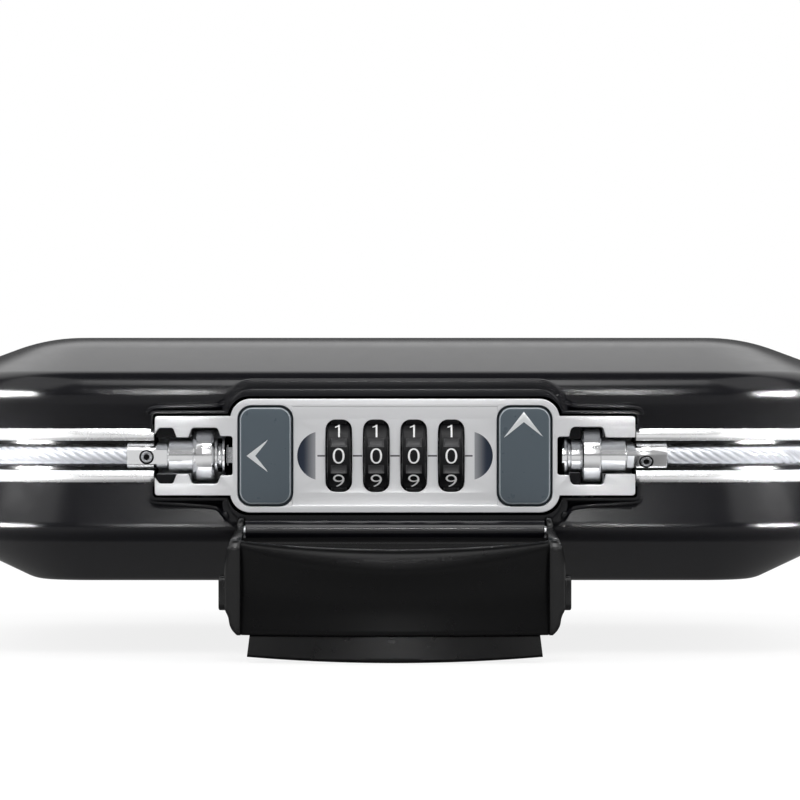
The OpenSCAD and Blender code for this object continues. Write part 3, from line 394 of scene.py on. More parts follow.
def loft(bm, rings):
    """Joins rings of equally many points into a skin, with a cap at each end."""
    vs = [[bm.verts.new(p) for p in ring] for ring in rings]
    n = len(vs[0])
    for a, b in zip(vs, vs[1:]):
        for i in range(n):
            bm.faces.new((a[i], a[(i + 1) % n], b[(i + 1) % n], b[i]))
    bm.faces.new(vs[0])
    bm.faces.new(vs[-1])


def prism(bm, outline, y0, y1):
    """Slab between two Y planes from an XZ outline, z measured from the seam."""
    loft(bm, [[(x, y, SEAM + z) for x, z in outline] for y in (y0, y1)])


def box(bm, x, y, z):
    loft(bm, [[(x[0], y[0], c), (x[1], y[0], c), (x[1], y[1], c), (x[0], y[1], c)] for c in z])


def ring_at(c, u, v, r, n, turn=0.0):
    """Ring round c in the plane of u and v; r is a number or a function of the angle."""
    return [c + (r(t) if callable(r) else r) * (cos(t + turn) * u + sin(t + turn) * v)
            for t in turns(n)]


def across(d):
    """Two directions square to d and to each other."""
    u = d.orthogonal().normalized()
    return u, d.cross(u)


def rod(bm, a, b, r, n=32):
    a, b = Vector(a), Vector(b)
    u, v = across((b - a).normalized())
    loft(bm, [ring_at(c, u, v, r, n) for c in (a, b)])


def lathe_x(bm, pts, n=96):
    """Turns (radius, x) points round the cable's line along X."""
    loft(bm, [[(x, CABLE_Y + r * cos(t), SEAM + r * sin(t)) for t in turns(n)]
              for r, x in pts])


def fillet(pts, spec):
    """Rounds the corners of an open or closed 2-D outline: spec is {index: radius}."""
    out = []
    n = len(pts)
    for i, p in enumerate(pts):
        r = spec.get(i, 0)
        if not r:
            out.append(p)
            continue
        p = Vector(p)
        a = (Vector(pts[i - 1]) - p)
        b = (Vector(pts[(i + 1) % n]) - p)
        ang = a.angle(b)
        t = min(r / tan(ang / 2), a.length * 0.49, b.length * 0.49)
        r = t * tan(ang / 2)
        s, e = p + a.normalized() * t, p + b.normalized() * t
        c = p + (a.normalized() + b.normalized()).normalized() * (r / sin(ang / 2))
        va, vb = s - c, e - c
        span = va.angle_signed(vb)
        for k in range(6):
            rot = Matrix.Rotation(-span * k / 5, 2)
            q = c + rot @ va
            out.append((q.x, q.y))
    return out


def boolean(a, b, mode):
    """a (union, difference or intersect) b for bmeshes in millimetres; frees both."""
    obs = []
    for bm in (a, b):
        clean(bm)
        obs.append(link("work", to_mesh(bm)))
    m = obs[0].modifiers.new("cut", "BOOLEAN")
    m.operation = mode
    m.solver = "EXACT"
    m.use_self = True
    m.object = obs[1]
    me = evaluated(obs[0])
    for o in obs:
        old = o.data
        bpy.data.objects.remove(o)
        bpy.data.meshes.remove(old)
    return from_mesh(me)


# Shells
def crown(height, flat, slope, bulge, edge, off):
    """Profile from the wall over the bulge and the slope to the flat; x = 0 is the widest line."""
    sr = radians(slope)
    zc = height - tan(sr) * (flat - bulge) - bulge / cos(sr)
    dx, dz = bulge - WAIST_IN, SHELF - zc
    aw = degrees(atan2(dz, dx)) + degrees(acos(bulge / hypot(dx, dz)))
    side = arc(-bulge, zc, bulge - off, aw, 90 - slope, 22)
    top = arc(-flat - edge * tan(sr / 2), height - edge, edge - off, 90 - slope, 90, 10)
    return side + top, zc, aw


def shell_profile(height, flat, slope, bulge, edge):
    """Open chain of a half shell's section: outer skin, lip at the seam, inner skin."""
    outer, zc, aw = crown(height, flat, slope, bulge, edge, 0)
    inner = crown(height, flat, slope, bulge, edge, WALL)[0]
    zi, gi = SHELF + WALL, GROOVE_IN + WALL
    ar = radians(aw)
    tx, tz = -bulge + bulge * cos(ar), zc + bulge * sin(ar)
    ix, iz = -bulge + (bulge - WALL) * cos(ar), zc + (bulge - WALL) * sin(ar)
    wx = ix + (zi - iz) * (-WAIST_IN - tx) / (SHELF - tz)
    seam = [(-WAIST_IN - 0.02, SHELF + LIP), (-WAIST_IN - LIP * 0.3, SHELF + LIP * 0.3),
            (-WAIST_IN - LIP, SHELF), (-GROOVE_IN, SHELF), (-GROOVE_IN, SEAM_GAP / 2),
            (-gi, SEAM_GAP / 2), (-gi, zi), (wx, zi)]
    return [(-CORE, height)] + outer[::-1] + seam + inner + [(-CORE, height - WALL)]


def path_frames(n):
    """Centres of the case's corners with the outward directions round them."""
    out = []
    for sx, sy, a0 in ((1, 1, 0), (-1, 1, 90), (-1, -1, 180), (1, -1, 270)):
        c = Vector((sx * (HALF_W - CORNER_R), sy * (HALF_D - CORNER_R)))
        for i in range(n + 1):
            a = radians(a0 + 90 * i / n)
            out.append((c, Vector((cos(a), sin(a)))))
    return out


def sweep(bm, pts, flip, closed, n=24):
    """Sweeps profile points (x outward from the widest line, z) round the case.

    An open profile gets a cap on its first and its last points.
    """
    sign = -1 if flip else 1
    cols = [[bm.verts.new((*(c + d * (CORNER_R + x)), SEAM + sign * z)) for x, z in pts]
            for c, d in path_frames(n)]
    m = len(pts)
    for a, b in zip(cols, cols[1:] + cols[:1]):
        for i in range(m if closed else m - 1):
            j = (i + 1) % m
            bm.faces.new((a[i], a[j], b[j], b[i]))
    if not closed:
        bm.faces.new([c[0] for c in cols])
        bm.faces.new([c[-1] for c in cols][::-1])


def lock_top(grow, wing_r, n):
    """Upper half of the lock's outline with its wings, grown by a gap on all sides."""
    r = 5.0
    x, z, wx, wz = PLATE_X + grow, PLATE_Z + grow, WING_X + grow, WING_Z + grow
    d = wz - (z - r)
    cut = x - r + sqrt(r * r - d * d)
    q = arc(wx - wing_r, wz - wing_r, wing_r, 0, 90, 5) + [(cut, wz)]
    q += arc(x - r, z - r, r, degrees(asin(d / r)), 90, n)[1:]
    return q + mirror(q, -1, 1)


def boss(bm, outline_of, steps):
    """Raised solid lofted through (y, inset) steps of an outline that takes an inset."""
    loft(bm, [[(x, y, SEAM + z) for x, z in outline_of(i)] for y, i in steps])


def edge_steps(y_from, y_to, inset, r, n=5):
    """Wall along -Y that ends in a rounded edge of radius r."""
    out = [(y_from, inset)]
    for k in range(n + 1):
        a = pi / 2 * k / n
        out.append((y_to + r - r * sin(a), inset + r - r * cos(a)))
    return out


def surround():
    """The step moulded round the lock, as three solids that overlap."""
    step, root = PLATE_Y + 1.2, FRONT + 6
    wx, wz = WING_X + NOTCH + 0.8, WING_Z + NOTCH + 0.8
    return [made(boss, lambda i: round_rect(x - i, z - i, r - min(i, cut), n),
                 edge_steps(root, top, 0, edge))
            for x, z, r, cut, n, top, edge in ((41.7, 18.5, 7, 5, 10, step + 1.2, 0.9),
                                               (40.3, 16.3, 6, 4.5, 10, step, 0.7),
                                               (wx, wz, 1.5, 1, 6, step + 1.2, 0.5))]


def shell(name, shape, flip, node, body):
    profile = shell_profile(**shape)
    bm = made(sweep, profile, flip, False)
    extra, *rest = surround()
    for part in rest:
        extra = boolean(extra, part, "UNION")
    w = WING_X + NOTCH + 3
    run = made(prism, [(-w, -SHELF), (w, -SHELF), (w, SHELF), (-w, SHELF)], PLATE_Y - 2, FRONT + 9)
    extra = boolean(extra, run, "DIFFERENCE")
    z = (SEAM - 60, SEAM - SEAM_GAP / 2) if flip else (SEAM + SEAM_GAP / 2, SEAM + 60)
    extra = boolean(extra, made(box, (-100, 100), (-120, 0), z), "INTERSECT")
    # The surround ends at the shell's inner face
    corner = (-GROOVE_IN - WALL, SHELF + WALL)
    inside = [(-CORE, -1), (corner[0], -1)] + profile[profile.index(corner):]
    extra = boolean(extra, made(sweep, inside, flip, False, 6), "DIFFERENCE")
    bm = boolean(bm, extra, "UNION")
    # Pads under the hinge leaves
    s = -1 if flip else 1
    zc = ((SEAM + s * 7.2) + (SEAM + s * 16.5)) / 2
    for sx in (-1, 1):
        pad = made(loft, [[(sx * HINGE_X + x, y, zc + z)
                           for x, z in round_rect(13 - i, 4.65 - i, 1.4 - min(i, 1), 4)]
                          for y, i in ((REAR - 3.5, 0), (REAR + 0.5, 0), (REAR + 0.85, 0.15),
                                       (REAR + 1, 0.5))])
        bm = boolean(bm, pad, "UNION")
    if flip:
        # The handle's block with its eyes, and the columns of the lock's screws
        hx = ARM_X - 0.4
        side = arc(PIVOT_Y, PIVOT_Z, 2.8, 90, 270, 16)
        side += [(FRONT + 2, PIVOT_Z - 2.8), (FRONT + 2, PIVOT_Z + 2.8)]
        block = made(loft, [[(x, y, SEAM + z) for y, z in side] for x in (-hx, hx)])
        bm = boolean(bm, block, "UNION")
        for sx in (-1, 1):
            eye = made(rod, (sx * hx, PIVOT_Y, SEAM + PIVOT_Z),
                       (sx * (ARM_OUT + 1), PIVOT_Y, SEAM + PIVOT_Z), 3.8, 40)
            bm = boolean(bm, eye, "DIFFERENCE")
            column = made(rod, (sx * COLUMN_X, FRONT + 19, 4.6),
                          (sx * COLUMN_X, FRONT + 19, SEAM - PLATE_Z + 0.3), 4)
            bm = boolean(bm, column, "UNION")
    else:
        # Blocks that hold the latch keepers
        for sx in (-1, 1):
            block = made(box, (sx * KEEPER_X - 4, sx * KEEPER_X + 4), (FRONT + 9, FRONT + 13.5),
                         (SEAM + PLATE_Z + 0.9, SEAM + 21))
            bm = boolean(bm, block, "UNION")
    top = lock_top(NOTCH, 1.0, 8)
    notch = made(prism, top + mirror(top, 1, -1), PLATE_Y - 2, HOUSING_BACK + 1)
    add(name, boolean(bm, notch, "DIFFERENCE"), "shell_black", body, (node,), 28)


shell("upper_case_shell", TOP, False, "upper_shell", "lid")
shell("lower_case_shell", BASE, True, "lower_shell", "base")


# Rims
def rim(name, flip, node, body):
    """Bright rim with a faintly crowned face and rounded edges, cut off at the lock."""
    lo, hi, r = RIM_GAP, SHELF, 0.35
    edge = -RIM_IN - 0.75
    face = [(-RIM_IN - 0.3 * (2 * u - 1) ** 2, lo + r + (hi - lo - 2 * r) * u)
            for u in [i / 10 for i in range(1, 10)]]
    profile = ([(-GROOVE_IN, lo), (edge, lo)] + arc(edge, lo + r, r, 270, 340, 4) + face
               + arc(edge, hi - r, r, 20, 90, 4) + [(-GROOVE_IN, hi)])
    w = WING_X + NOTCH
    lock = made(box, (-w, w), (FRONT - 2, FRONT + GROOVE_IN + 2), (SEAM - 12, SEAM + 12))
    bm = boolean(made(sweep, profile, flip, True), lock, "DIFFERENCE")
    add(name, bm, "rim_bright", body, (node,), 50)


rim("upper_bright_rim", False, "upper_rim", "lid")
rim("lower_bright_rim", True, "lower_rim", "base")


# Cable
def cable_path(step, x_left, x_right):
    """Centre line of the cable from the left ferrule round the back to the right one."""
    r = CORNER_R - CABLE_IN
    hw, hd = HALF_W - CABLE_IN, HALF_D - CABLE_IN
    cx, cy = HALF_W - CORNER_R, HALF_D - CORNER_R
    pts = []
    # Both ends of each straight, and the centre and start angle of the bend after it
    for a, b, bend in (((x_left, -hd), (-cx, -hd), (-cx, -cy, 270)),
                       ((-hw, -cy), (-hw, cy), (-cx, cy, 180)),
                       ((-cx, hd), (cx, hd), (cx, cy, 90)),
                       ((hw, cy), (hw, -cy), (cx, -cy, 0)),
                       ((cx, -hd), (x_right, -hd), None)):
        a, b = Vector(a), Vector(b)
        n = max(int((b - a).length / step), 1)
        pts += [a.lerp(b, i / n) for i in range(n)]
        if bend:
            x, y, start = bend
            n = int(r * pi / 2 / step)
            pts += [Vector(p) for p in arc(x, y, r, start, start - 90, n)[:-1]]
    return pts + [b]


def strand_core():
    """Strands laid round a core, along the cable's path."""
    strands, lay, orbit, strand_r, core_r = 7, 17.0, 1.44, 0.65, 1.72
    pts = cable_path(1.3, -64.6, 65.6)
    frames = []
    length = 0
    for i, p in enumerate(pts):
        d = (pts[min(i + 1, len(pts) - 1)] - pts[max(i - 1, 0)]).normalized()
        if i:
            length += (p - pts[i - 1]).length
        frames.append((p, Vector((d.y, -d.x)), length))

    def ring(p, side, a, far, r, n):
        return [(*(p + side * (far * cos(a) + r * cos(t))),
                 SEAM + far * sin(a) + r * sin(t)) for t in turns(n)]

    bm = bmesh.new()
    for s in range(strands):
        loft(bm, [ring(p, side, 2 * pi * (s / strands - along / lay), orbit, strand_r, 10)
                  for p, side, along in frames])
    loft(bm, [ring(p, side, 0, 0, core_r, 20) for p, side, _ in frames[::2] + [frames[-1]]])
    add("twisted_steel_cable", bm, "cable_steel", "base", ("cable_core",), 60)


strand_core()


# Faceplate and buttons
def plate(outlines, y0, y1, bevel, res=2):
    """Slab between two Y planes with all edges rounded; the first XZ outline is the outside."""
    cu = bpy.data.curves.new("work", "CURVE")
    cu.dimensions = "2D"
    cu.fill_mode = "BOTH"
    for pts in outlines:
        sp = cu.splines.new("POLY")
        sp.points.add(len(pts) - 1)
        for p, (x, z) in zip(sp.points, pts):
            p.co = (x, z, 0, 1)
        sp.use_cyclic_u = True
    cu.extrude = (y1 - y0) / 2 - bevel
    cu.bevel_depth = bevel
    cu.bevel_resolution = res
    cu.offset = -bevel
    bm = from_mesh(curve_mesh(cu))
    stand = Matrix(((1, 0, 0, 0), (0, 0, -1, (y0 + y1) / 2), (0, 1, 0, SEAM), (0, 0, 0, 1)))
    bmesh.ops.transform(bm, matrix=stand, verts=bm.verts)
    bmesh.ops.remove_doubles(bm, verts=bm.verts, dist=1e-4)
    return bm


def merge(a, b):
    """Adds b to a and frees b."""
    me = to_mesh(b)
    a.from_mesh(me)
    bpy.data.meshes.remove(me)
    return a


def fillet_end(pts, r=0.6):
    """Rounds the inner end of a half pocket outline."""
    x, z = pts[-1]
    s = 1 if x < 0 else -1
    return pts[:-1] + arc(x - s * r, z - r, r, 90, 0 if s > 0 else 180, 4)


def plate_contour():
    """Outline of the faceplate with the pockets that are open at the ends of its wings."""
    top = lock_top(0, 0.8, 10)
    left = fillet_end(fillet(
        [(-WING_X, 5.2), (-56.6, 6.7), (-53.3, 6.7), (-52.4, 4.4), (-49.6, 4.4), (-48.7, 6.75),
         (-42.6, 6.75), (-41.9, 4.7), (-39.0, 4.7)],
        {1: 0.7, 2: 0.7, 3: 0.3, 4: 0.4, 5: 0.9, 6: 0.9, 7: 0.4}))
    right = fillet_end(fillet(
        [(WING_X, 4.4), (50.6, 4.4), (49.9, 6.95), (42.3, 6.95), (41.8, 4.6), (39.0, 4.6)],
        {1: 0.4, 2: 0.9, 3: 1.2, 4: 0.3}))
    return (top + left + mirror(left, 1, -1) + mirror(top, 1, -1)
            + [(a, -b) for a, b in right] + right[::-1])


def faceplate():
    """Field with windows, button holes and scoops under a raised rim, and the index marks."""
    hole = round_rect(HOLE_W / 2, HOLE_H / 2, HOLE_R, 8)
    windows = [shift(round_rect(3.15, 8.7, 2.4, 8), i * PITCH) for i in (-1.5, -0.5, 0.5, 1.5)]
    contour = plate_contour()
    field = plate([contour, shift(hole, BUTTON_X), shift(hole, -BUTTON_X)] + windows,
                  FIELD_Y, PLATE_BACK, 0.12)
    scoop_x, scoop_r, slope, shallow = 17.6, 5.9, 0.22, 19.1
    for s in (-1, 1):
        ring = [(s * x, z) for x, z in arc(scoop_x, 0, scoop_r, -75.3, 75.3, 30)]
        cut = made(loft, [[(x, FIELD_Y - 1, SEAM + z) for x, z in ring],
                          [(x, FIELD_Y + slope * (abs(x) - shallow), SEAM + z) for x, z in ring]])
        field = boolean(field, cut, "DIFFERENCE")
    # The rim's inner edge runs round the buttons and straight between them
    x0, z0 = BUTTON_X - HOLE_W / 2, PLATE_Z - 1.9
    cx, cz, r = x0 + HOLE_R, HOLE_H / 2 - HOLE_R, HOLE_R
    a = degrees(acos((x0 + 0.1 - cx) / r))
    q = [(x0 + 0.1, z0)] + arc(cx, cz, r, a, 90, 6)
    q += arc(BUTTON_X + HOLE_W / 2 - r, cz, r, 90, 0, 8)
    half = q + mirror(q, 1, -1)
    opening = half + mirror(half, -1, 1)
    border = plate([contour, opening[::-1]], PLATE_Y, PLATE_Y + 0.6, 0.2, 3)
    ob = add("lock_front_plate", merge(field, border), "plate_satin", "base", ("lock_faceplate",),
             30)
    # The scoops' faces get the painted shade
    paint_faces(ob, SCOOP_PAINTED_SHADE, lambda x, y, z, n: y > FIELD_Y + 0.01 and 19 < abs(x) < 23.6
                and n.y < -0.5 and (abs(x) - scoop_x) ** 2 + z * z < (scoop_r + 0.05) ** 2)
    marks = bmesh.new()
    for c, w in ((-17.7, 0.95), (-9, 1.15), (0, 1.15), (9, 1.15), (17.7, 0.95)):
        prism(marks, shift(round_rect(w, 0.2, 0.15, 3), c), FIELD_Y - 0.03, FIELD_Y + 0.3)
    add("index_marks", marks, "dial_black", "base", (), 30, MARK)


def buttons():
    """Each button is a cap with a flange and a stem; its arrow is a thin plate on the cap."""
    for name, cx, stem_end, arrow in (
            ("cable_button", -BUTTON_X, CABLE_Y + 4.6,
             [(-35.6, 0), (-30.5, -3.9), (-30.9, -3.2), (-33.5, 0.0), (-30.9, 3.2), (-30.5, 3.9)]),
            ("lid_button", BUTTON_X, FRONT + 17.2,
             [(30.9, 10.6), (26.1, 4.4), (26.9, 4.9), (30.9, 8.1), (34.9, 5.0), (35.5, 4.6)])):
        flange = PLATE_BACK + 0.2
        cap = plate([shift(round_rect(6.15, 11.6, 3, 10), cx)], PLATE_Y - 0.9, flange, 0.5, 4)
        merge(cap, plate([shift(round_rect(6.95, 12.4, 3, 8), cx)], flange, PLATE_BACK + 1.4, 0.2))
        z = SEAM + STEM_Z[name]
        rod(cap, (cx, PLATE_BACK + 1.4, z), (cx, stem_end, z), 1.8)
        ob = add(name + "_cap", cap, "button_slate", name, (name,), 40)
        # The bevel faces round the cap's front get the painted highlight
        paint_faces(ob, BUTTON_EDGE_HIGHLIGHT, lambda x, y, z, n: y < PLATE_Y - 0.45 and -0.97 < n.y < -0.35)
        add(name + "_arrow", plate([arrow], PLATE_Y - 0.97, PLATE_Y - 0.7, 0.04, 1),
            "button_slate", name, (), 40, ARROW)


def beads():
    """Raised bead of each shell round the wings of the faceplate, laid on the shell's surface."""
    for name, body, shell_name, path in (
            ("lid_wing_bead", "lid", "upper_case_shell",
             [(40.6, 13.4), (41.6, 12.4), (43.2, 12.0), (46, 11.9), (50, 11.8), (54, 11.7),
              (57.6, 11.6), (59.0, 11.2), (59.8, 10.4), (60.1, 9.4)]),
            ("base_wing_bead", "base", "lower_case_shell",
             [(59.9, -9.6), (59.4, -10.6), (58.2, -11.2), (54, -11.5), (50, -11.8), (46, -12.1),
              (43.4, -12.4), (41.6, -13.1), (40.4, -14.4), (39.6, -16.0)])):
        me = bpy.data.objects[shell_name].data
        tree = BVHTree.FromPolygons([v.co for v in me.vertices], [f.vertices for f in me.polygons])
        bm = bmesh.new()
        for s in (-1, 1):
            pts = []
            for (x0, z0), (x1, z1) in zip(path, path[1:]):
                for k in range(4):
                    x, z = x0 + (x1 - x0) * k / 4, z0 + (z1 - z0) * k / 4
                    hit = tree.ray_cast(Vector((s * x, -200, SEAM + z)) * MM, Vector((0, 1, 0)))[0]
                    if hit:
                        pts.append(hit / MM)
            groups = [pts[max(0, i - 2):i + 3] for i in range(len(pts))]
            pts = [sum(group, Vector()) / len(group) for group in groups]
            last = len(pts) - 1
            rings = []
            for i, p in enumerate(pts):
                t = (pts[min(i + 1, last)] - pts[max(i - 1, 0)]).normalized()
                side = t.cross(Vector((0, -1, 0))).normalized()
                g = min(1.0, 0.25 + 0.2 * min(i, last - i))
                rings.append(ring_at(p, 0.75 * g * side, 0.6 * g * side.cross(t), 1, 16))
            loft(bm, rings)
        add(name, bm, "shell_black", body, (), 60)


# Dials
def cut_rows(bm):
    """Cuts a figure into rows, so that it can bend round the dial."""
    for k in range(-6, 7):
        bmesh.ops.bisect_plane(bm, geom=bm.verts[:] + bm.edges[:] + bm.faces[:],
                               plane_co=(0, k * 0.3, 0), plane_no=(0, 1, 0))


def glyphs():
    """Triangulated figures 0 to 9, centred, as high as a dial's field, in millimetres."""
    width, height = 2.8, 3.7
    one = [(-0.15, -1.85), (0.28, -1.85), (0.28, 1.85), (-0.05, 1.85), (-0.35, 1.45), (-0.9, 1.2),
           (-0.9, 0.85), (-0.15, 1.15)]
    out = []
    scale = None
    for c in "0123456789":
        if c == "1":
            bm = bmesh.new()
            bm.faces.new([bm.verts.new((x, y, 0)) for x, y in one])
            bm.normal_update()
            bmesh.ops.triangulate(bm, faces=bm.faces[:])
        else:
            cu = bpy.data.curves.new("work", "FONT")
            cu.body = c
            cu.offset = -0.014
            bm = from_mesh(curve_mesh(cu))
            xs, ys = [v.co.x for v in bm.verts], [v.co.y for v in bm.verts]
            if scale is None:
                scale = width / (max(xs) - min(xs)), height / (max(ys) - min(ys))
            cx, cy = (max(xs) + min(xs)) / 2, (max(ys) + min(ys)) / 2
            for v in bm.verts:
                v.co = Vector(((v.co.x - cx) * scale[0], (v.co.y - cy) * scale[1], 0))
        cut_rows(bm)
        out.append(bm)
    return out


def dial_ring(bm, x0):
    """Ring with a groove across its middle between the fields of two figures."""
    w, n = DIAL_W / 2, 180
    # Place across the dial, drop of its rounded edges, share of the groove's depth
    section = [(-w, 0.5, 0), (-w + 0.12, 0.18, 0), (-w + 0.5, 0, 0), (-1.9, 0, 0.1), (-1.5, 0, 1),
               (1.5, 0, 1), (1.9, 0, 0.1), (w - 0.5, 0, 0), (w - 0.12, 0.18, 0), (w, 0.5, 0)]
    rows = []
    for i, t in enumerate(turns(n)):
        d = abs((360 * i / n + 18) % 36 - 18)
        g = min(max((d - 12.2) / 2.6, 0), 1)
        chain = [(x, DIAL_R - drop - RIDGE_DEPTH * g * painted_shade) for x, drop, painted_shade in section]
        rows.append([bm.verts.new((x0 + x, DIAL_Y - r * cos(t), SEAM + r * sin(t)))
                     for x, r in chain + [(w, BORE_R), (-w, BORE_R)]])
    for a, b in zip(rows, rows[1:] + rows[:1]):
        for j in range(len(a)):
            k = (j + 1) % len(a)
            bm.faces.new((a[j], a[k], b[k], b[j]))


def dials():
    figs = glyphs()
    high = 0.03
    for d in range(1, 5):
        body = "dial_%d" % d
        x0 = (d - 2.5) * PITCH
        ob = add("number_" + body, made(dial_ring, x0), "dial_black", body, (body,), 25)
        # The groove faces get the painted sheen
        paint_faces(ob, RIDGE_SHEEN, lambda x, y, z, n: abs(x - x0) < 1.95
                    and 8 < hypot(y - DIAL_Y, z) < DIAL_R - 0.04)
        bm = bmesh.new()
        for k, fig in enumerate(figs):
            part = fig.copy()
            ext = bmesh.ops.extrude_face_region(part, geom=part.faces[:])
            for v in [g for g in ext["geom"] if isinstance(g, bmesh.types.BMVert)]:
                v.co.z = high
            for v in part.verts:
                t = radians(36 * k) + v.co.y / DIAL_R
                r = DIAL_R + (high if v.co.z > 0.01 else -0.05)
                v.co = Vector((x0 + v.co.x, DIAL_Y - r * cos(t), SEAM + r * sin(t)))
            merge(bm, part)
        add("figures_%d" % d, bm, "dial_black", body, (), 25, PAINT)
    for fig in figs:
        fig.free()


# Fittings
def plugs():
    """Each plug is turned from a chain of (radius, x) whose inner corners are a little round."""
    for side, r, chain in (
            ("left", 0.22, [(2.45, -54.7), (3.8, -54.7), (3.8, -48.85), (5.3, -48.8), (6.25, -47.9),
                            (6.4, -46.4), (6.3, -44.2), (5.9, -43.6), (4.15, -43.6), (4.15, -42.8),
                            (3.0, -42.8), (3.0, -41.8), (4.15, -41.8), (4.15, -41.1),
                            (3.75, -40.7), (0.4, -40.7)]),
            ("right", 0.18, [(0.4, 40), (4.05, 40), (4.35, 40.3), (4.35, 41.4), (4.1, 41.7),
                             (3.5, 41.7), (3.5, 42.2), (3.8, 42.6), (3.8, 44.9), (6.0, 45.1),
                             (6.6, 45.5), (6.6, 49.4), (6.2, 49.7), (3.95, 49.7), (3.95, 55.7),
                             (2.45, 55.7)])):
        turned = fillet(chain, {i: r for i in range(1, len(chain) - 1)})
        bm = made(lathe_x, [(0.01, chain[0][1])] + turned + [(0.01, chain[-1][1])])
        add(side + "_cable_plug", bm, "fitting_chrome", side + "_plug", (side + "_plug",), 32)


def islands(node):
    """Each separate solid of a CAD node, as its points in millimetres."""
    bm = bmesh.new()
    bm.from_mesh(nodes[node].data)
    bmesh.ops.remove_doubles(bm, verts=bm.verts, dist=1e-6)
    left = dict.fromkeys(bm.verts)
    out = []
    while left:
        todo = [left.popitem()[0]]
        group = []
        while todo:
            v = todo.pop()
            group.append(v.co / MM)
            near = [o for o in [e.other_vert(v) for e in v.link_edges] if o in left]
            for o in near:
                del left[o]
            todo += near
        out.append(group)
    bm.free()
    return sorted(out, key=lambda g: [round(c, 3) for c in sum(g, Vector()) / len(g)])


def screws(name, node, body, axis, turn=20):
    """Screws with a rounded head and a cross recess in the place of the plain CAD ones."""
    bm = bmesh.new()
    for k, group in enumerate(islands(node)):
        mid = sum(group, Vector()) / len(group)
        d = Vector(axis) * (copysign(1, mid.x) if axis[0] else 1)
        h = [p.dot(d) for p in group]
        top, low = max(h), min(h)
        head = [p for p, q in zip(group, h) if q > top - 0.02]
        c = sum(head, Vector()) / len(head)
        c -= d * c.dot(d)
        far = [(p - d * q - c).length for p, q in zip(group, h)]
        r, shaft = max(far), max(f for f, q in zip(far, h) if q < low + 0.02)
        under = min(q for f, q in zip(far, h) if f > r - 0.03)
        u, v = across(d)

        def ring(r, h, cross=0.0):
            def edge(t):
                a = abs((t + pi / 4) % (pi / 2) - pi / 4)
                return min(r, max(cross / max(sin(a), 1e-6), cross * 1.42))
            return ring_at(c + d * h, u, v, edge if cross else r, 48, radians(turn + 37 * k))
        loft(bm, [ring(shaft * 0.7, low), ring(shaft, low + 0.4), ring(shaft, under),
                  ring(r, under), ring(r, top - 0.35), ring(r * 0.95, top - 0.14),
                  ring(r * 0.84, top - 0.03), ring(r * 0.74, top), ring(r * 0.62, top, r * 0.13),
                  ring(r * 0.56, top - 0.08, r * 0.11),
                  ring(r * 0.42, top - 0.62 * (top - under), r * 0.08)])
    add(name, bm, "screw_steel", body, (node,), 30)


def ferrules():
    """Ferrules with one flat and a seat for the set screw, and the set screws."""
    half = degrees(acos(2.7 / FERRULE_R))
    section = arc(0, 0, FERRULE_R, 180 + half, 540 - half, 56)
    set_screws = bmesh.new()
    for name, node, x0, x1, sx, tilt in FERRULES:
        rot = Matrix.Rotation(radians(tilt), 3, "X")
        rings = []
        for x, k in ((x0, 0.93), (x0 + 0.1, 0.975), (x0 + 0.3, 1), (x1 - 0.3, 1),
                     (x1 - 0.1, 0.975), (x1, 0.93)):
            turned = [rot @ Vector((0, y * k, z * k)) for y, z in section]
            rings.append([(x, CABLE_Y + p.y, SEAM + p.z) for p in turned])
        d = rot @ Vector((0, -1, 0))
        c = Vector((sx, CABLE_Y, SEAM))
        seat = made(rod, c + d * SEAT_DEPTH, c + d * 4, 1.78, 40)
        bm = boolean(made(loft, rings), seat, "DIFFERENCE")
        s, end = (1, x1) if x0 < 0 else (-1, x0)
        rod(bm, (end - 0.2 * s, CABLE_Y, SEAM), (end + 4.6 * s, CABLE_Y, SEAM), 2.4)
        ob = add(name, bm, "fitting_chrome", "base", (node,), 32)
        paint_faces(ob, SHADE, lambda x, y, z, n: n.y < -0.5
                    and y > CABLE_Y + (SEAT_DEPTH + 0.01) * d.y
                    and hypot(x - sx, z - SEAT_DEPTH * d.z) < 1.7)
        u = Vector((1, 0, 0))
        # Radius, height and, for the socket, six sides
        loft(set_screws, [
            ring_at(c + d * h, u, d.cross(u), (lambda t: r / cos(
                (t + pi / 6) % (pi / 3) - pi / 6)) if hexed else r, 48)
            for r, h, hexed in ((1.0, 2.15, 0), (1.0, 2.43, 0), (1.3, 2.43, 0), (1.36, 2.5, 0),
                                (1.36, 2.7, 0), (1.26, 2.8, 0), (1.0, 2.82, 0), (0.9, 2.76, 0),
                                (0.72, 2.74, 1), (0.66, 2.5, 1))])
    ob = add("ferrule_set_screws", set_screws, "screw_steel", "base", ("ferrule_screws",), 30,
             SET_SCREW)
    paint_faces(ob, SHADE, lambda x, y, z, n: min(
        hypot(x - at, z + 2.6 * sin(radians(tilt)))
        for _, _, _, _, at, tilt in FERRULES) < 0.55)


# Handle
def bow_y(x, r=BOW_R):
    return BOW_YC - sqrt(r * r - x * x)


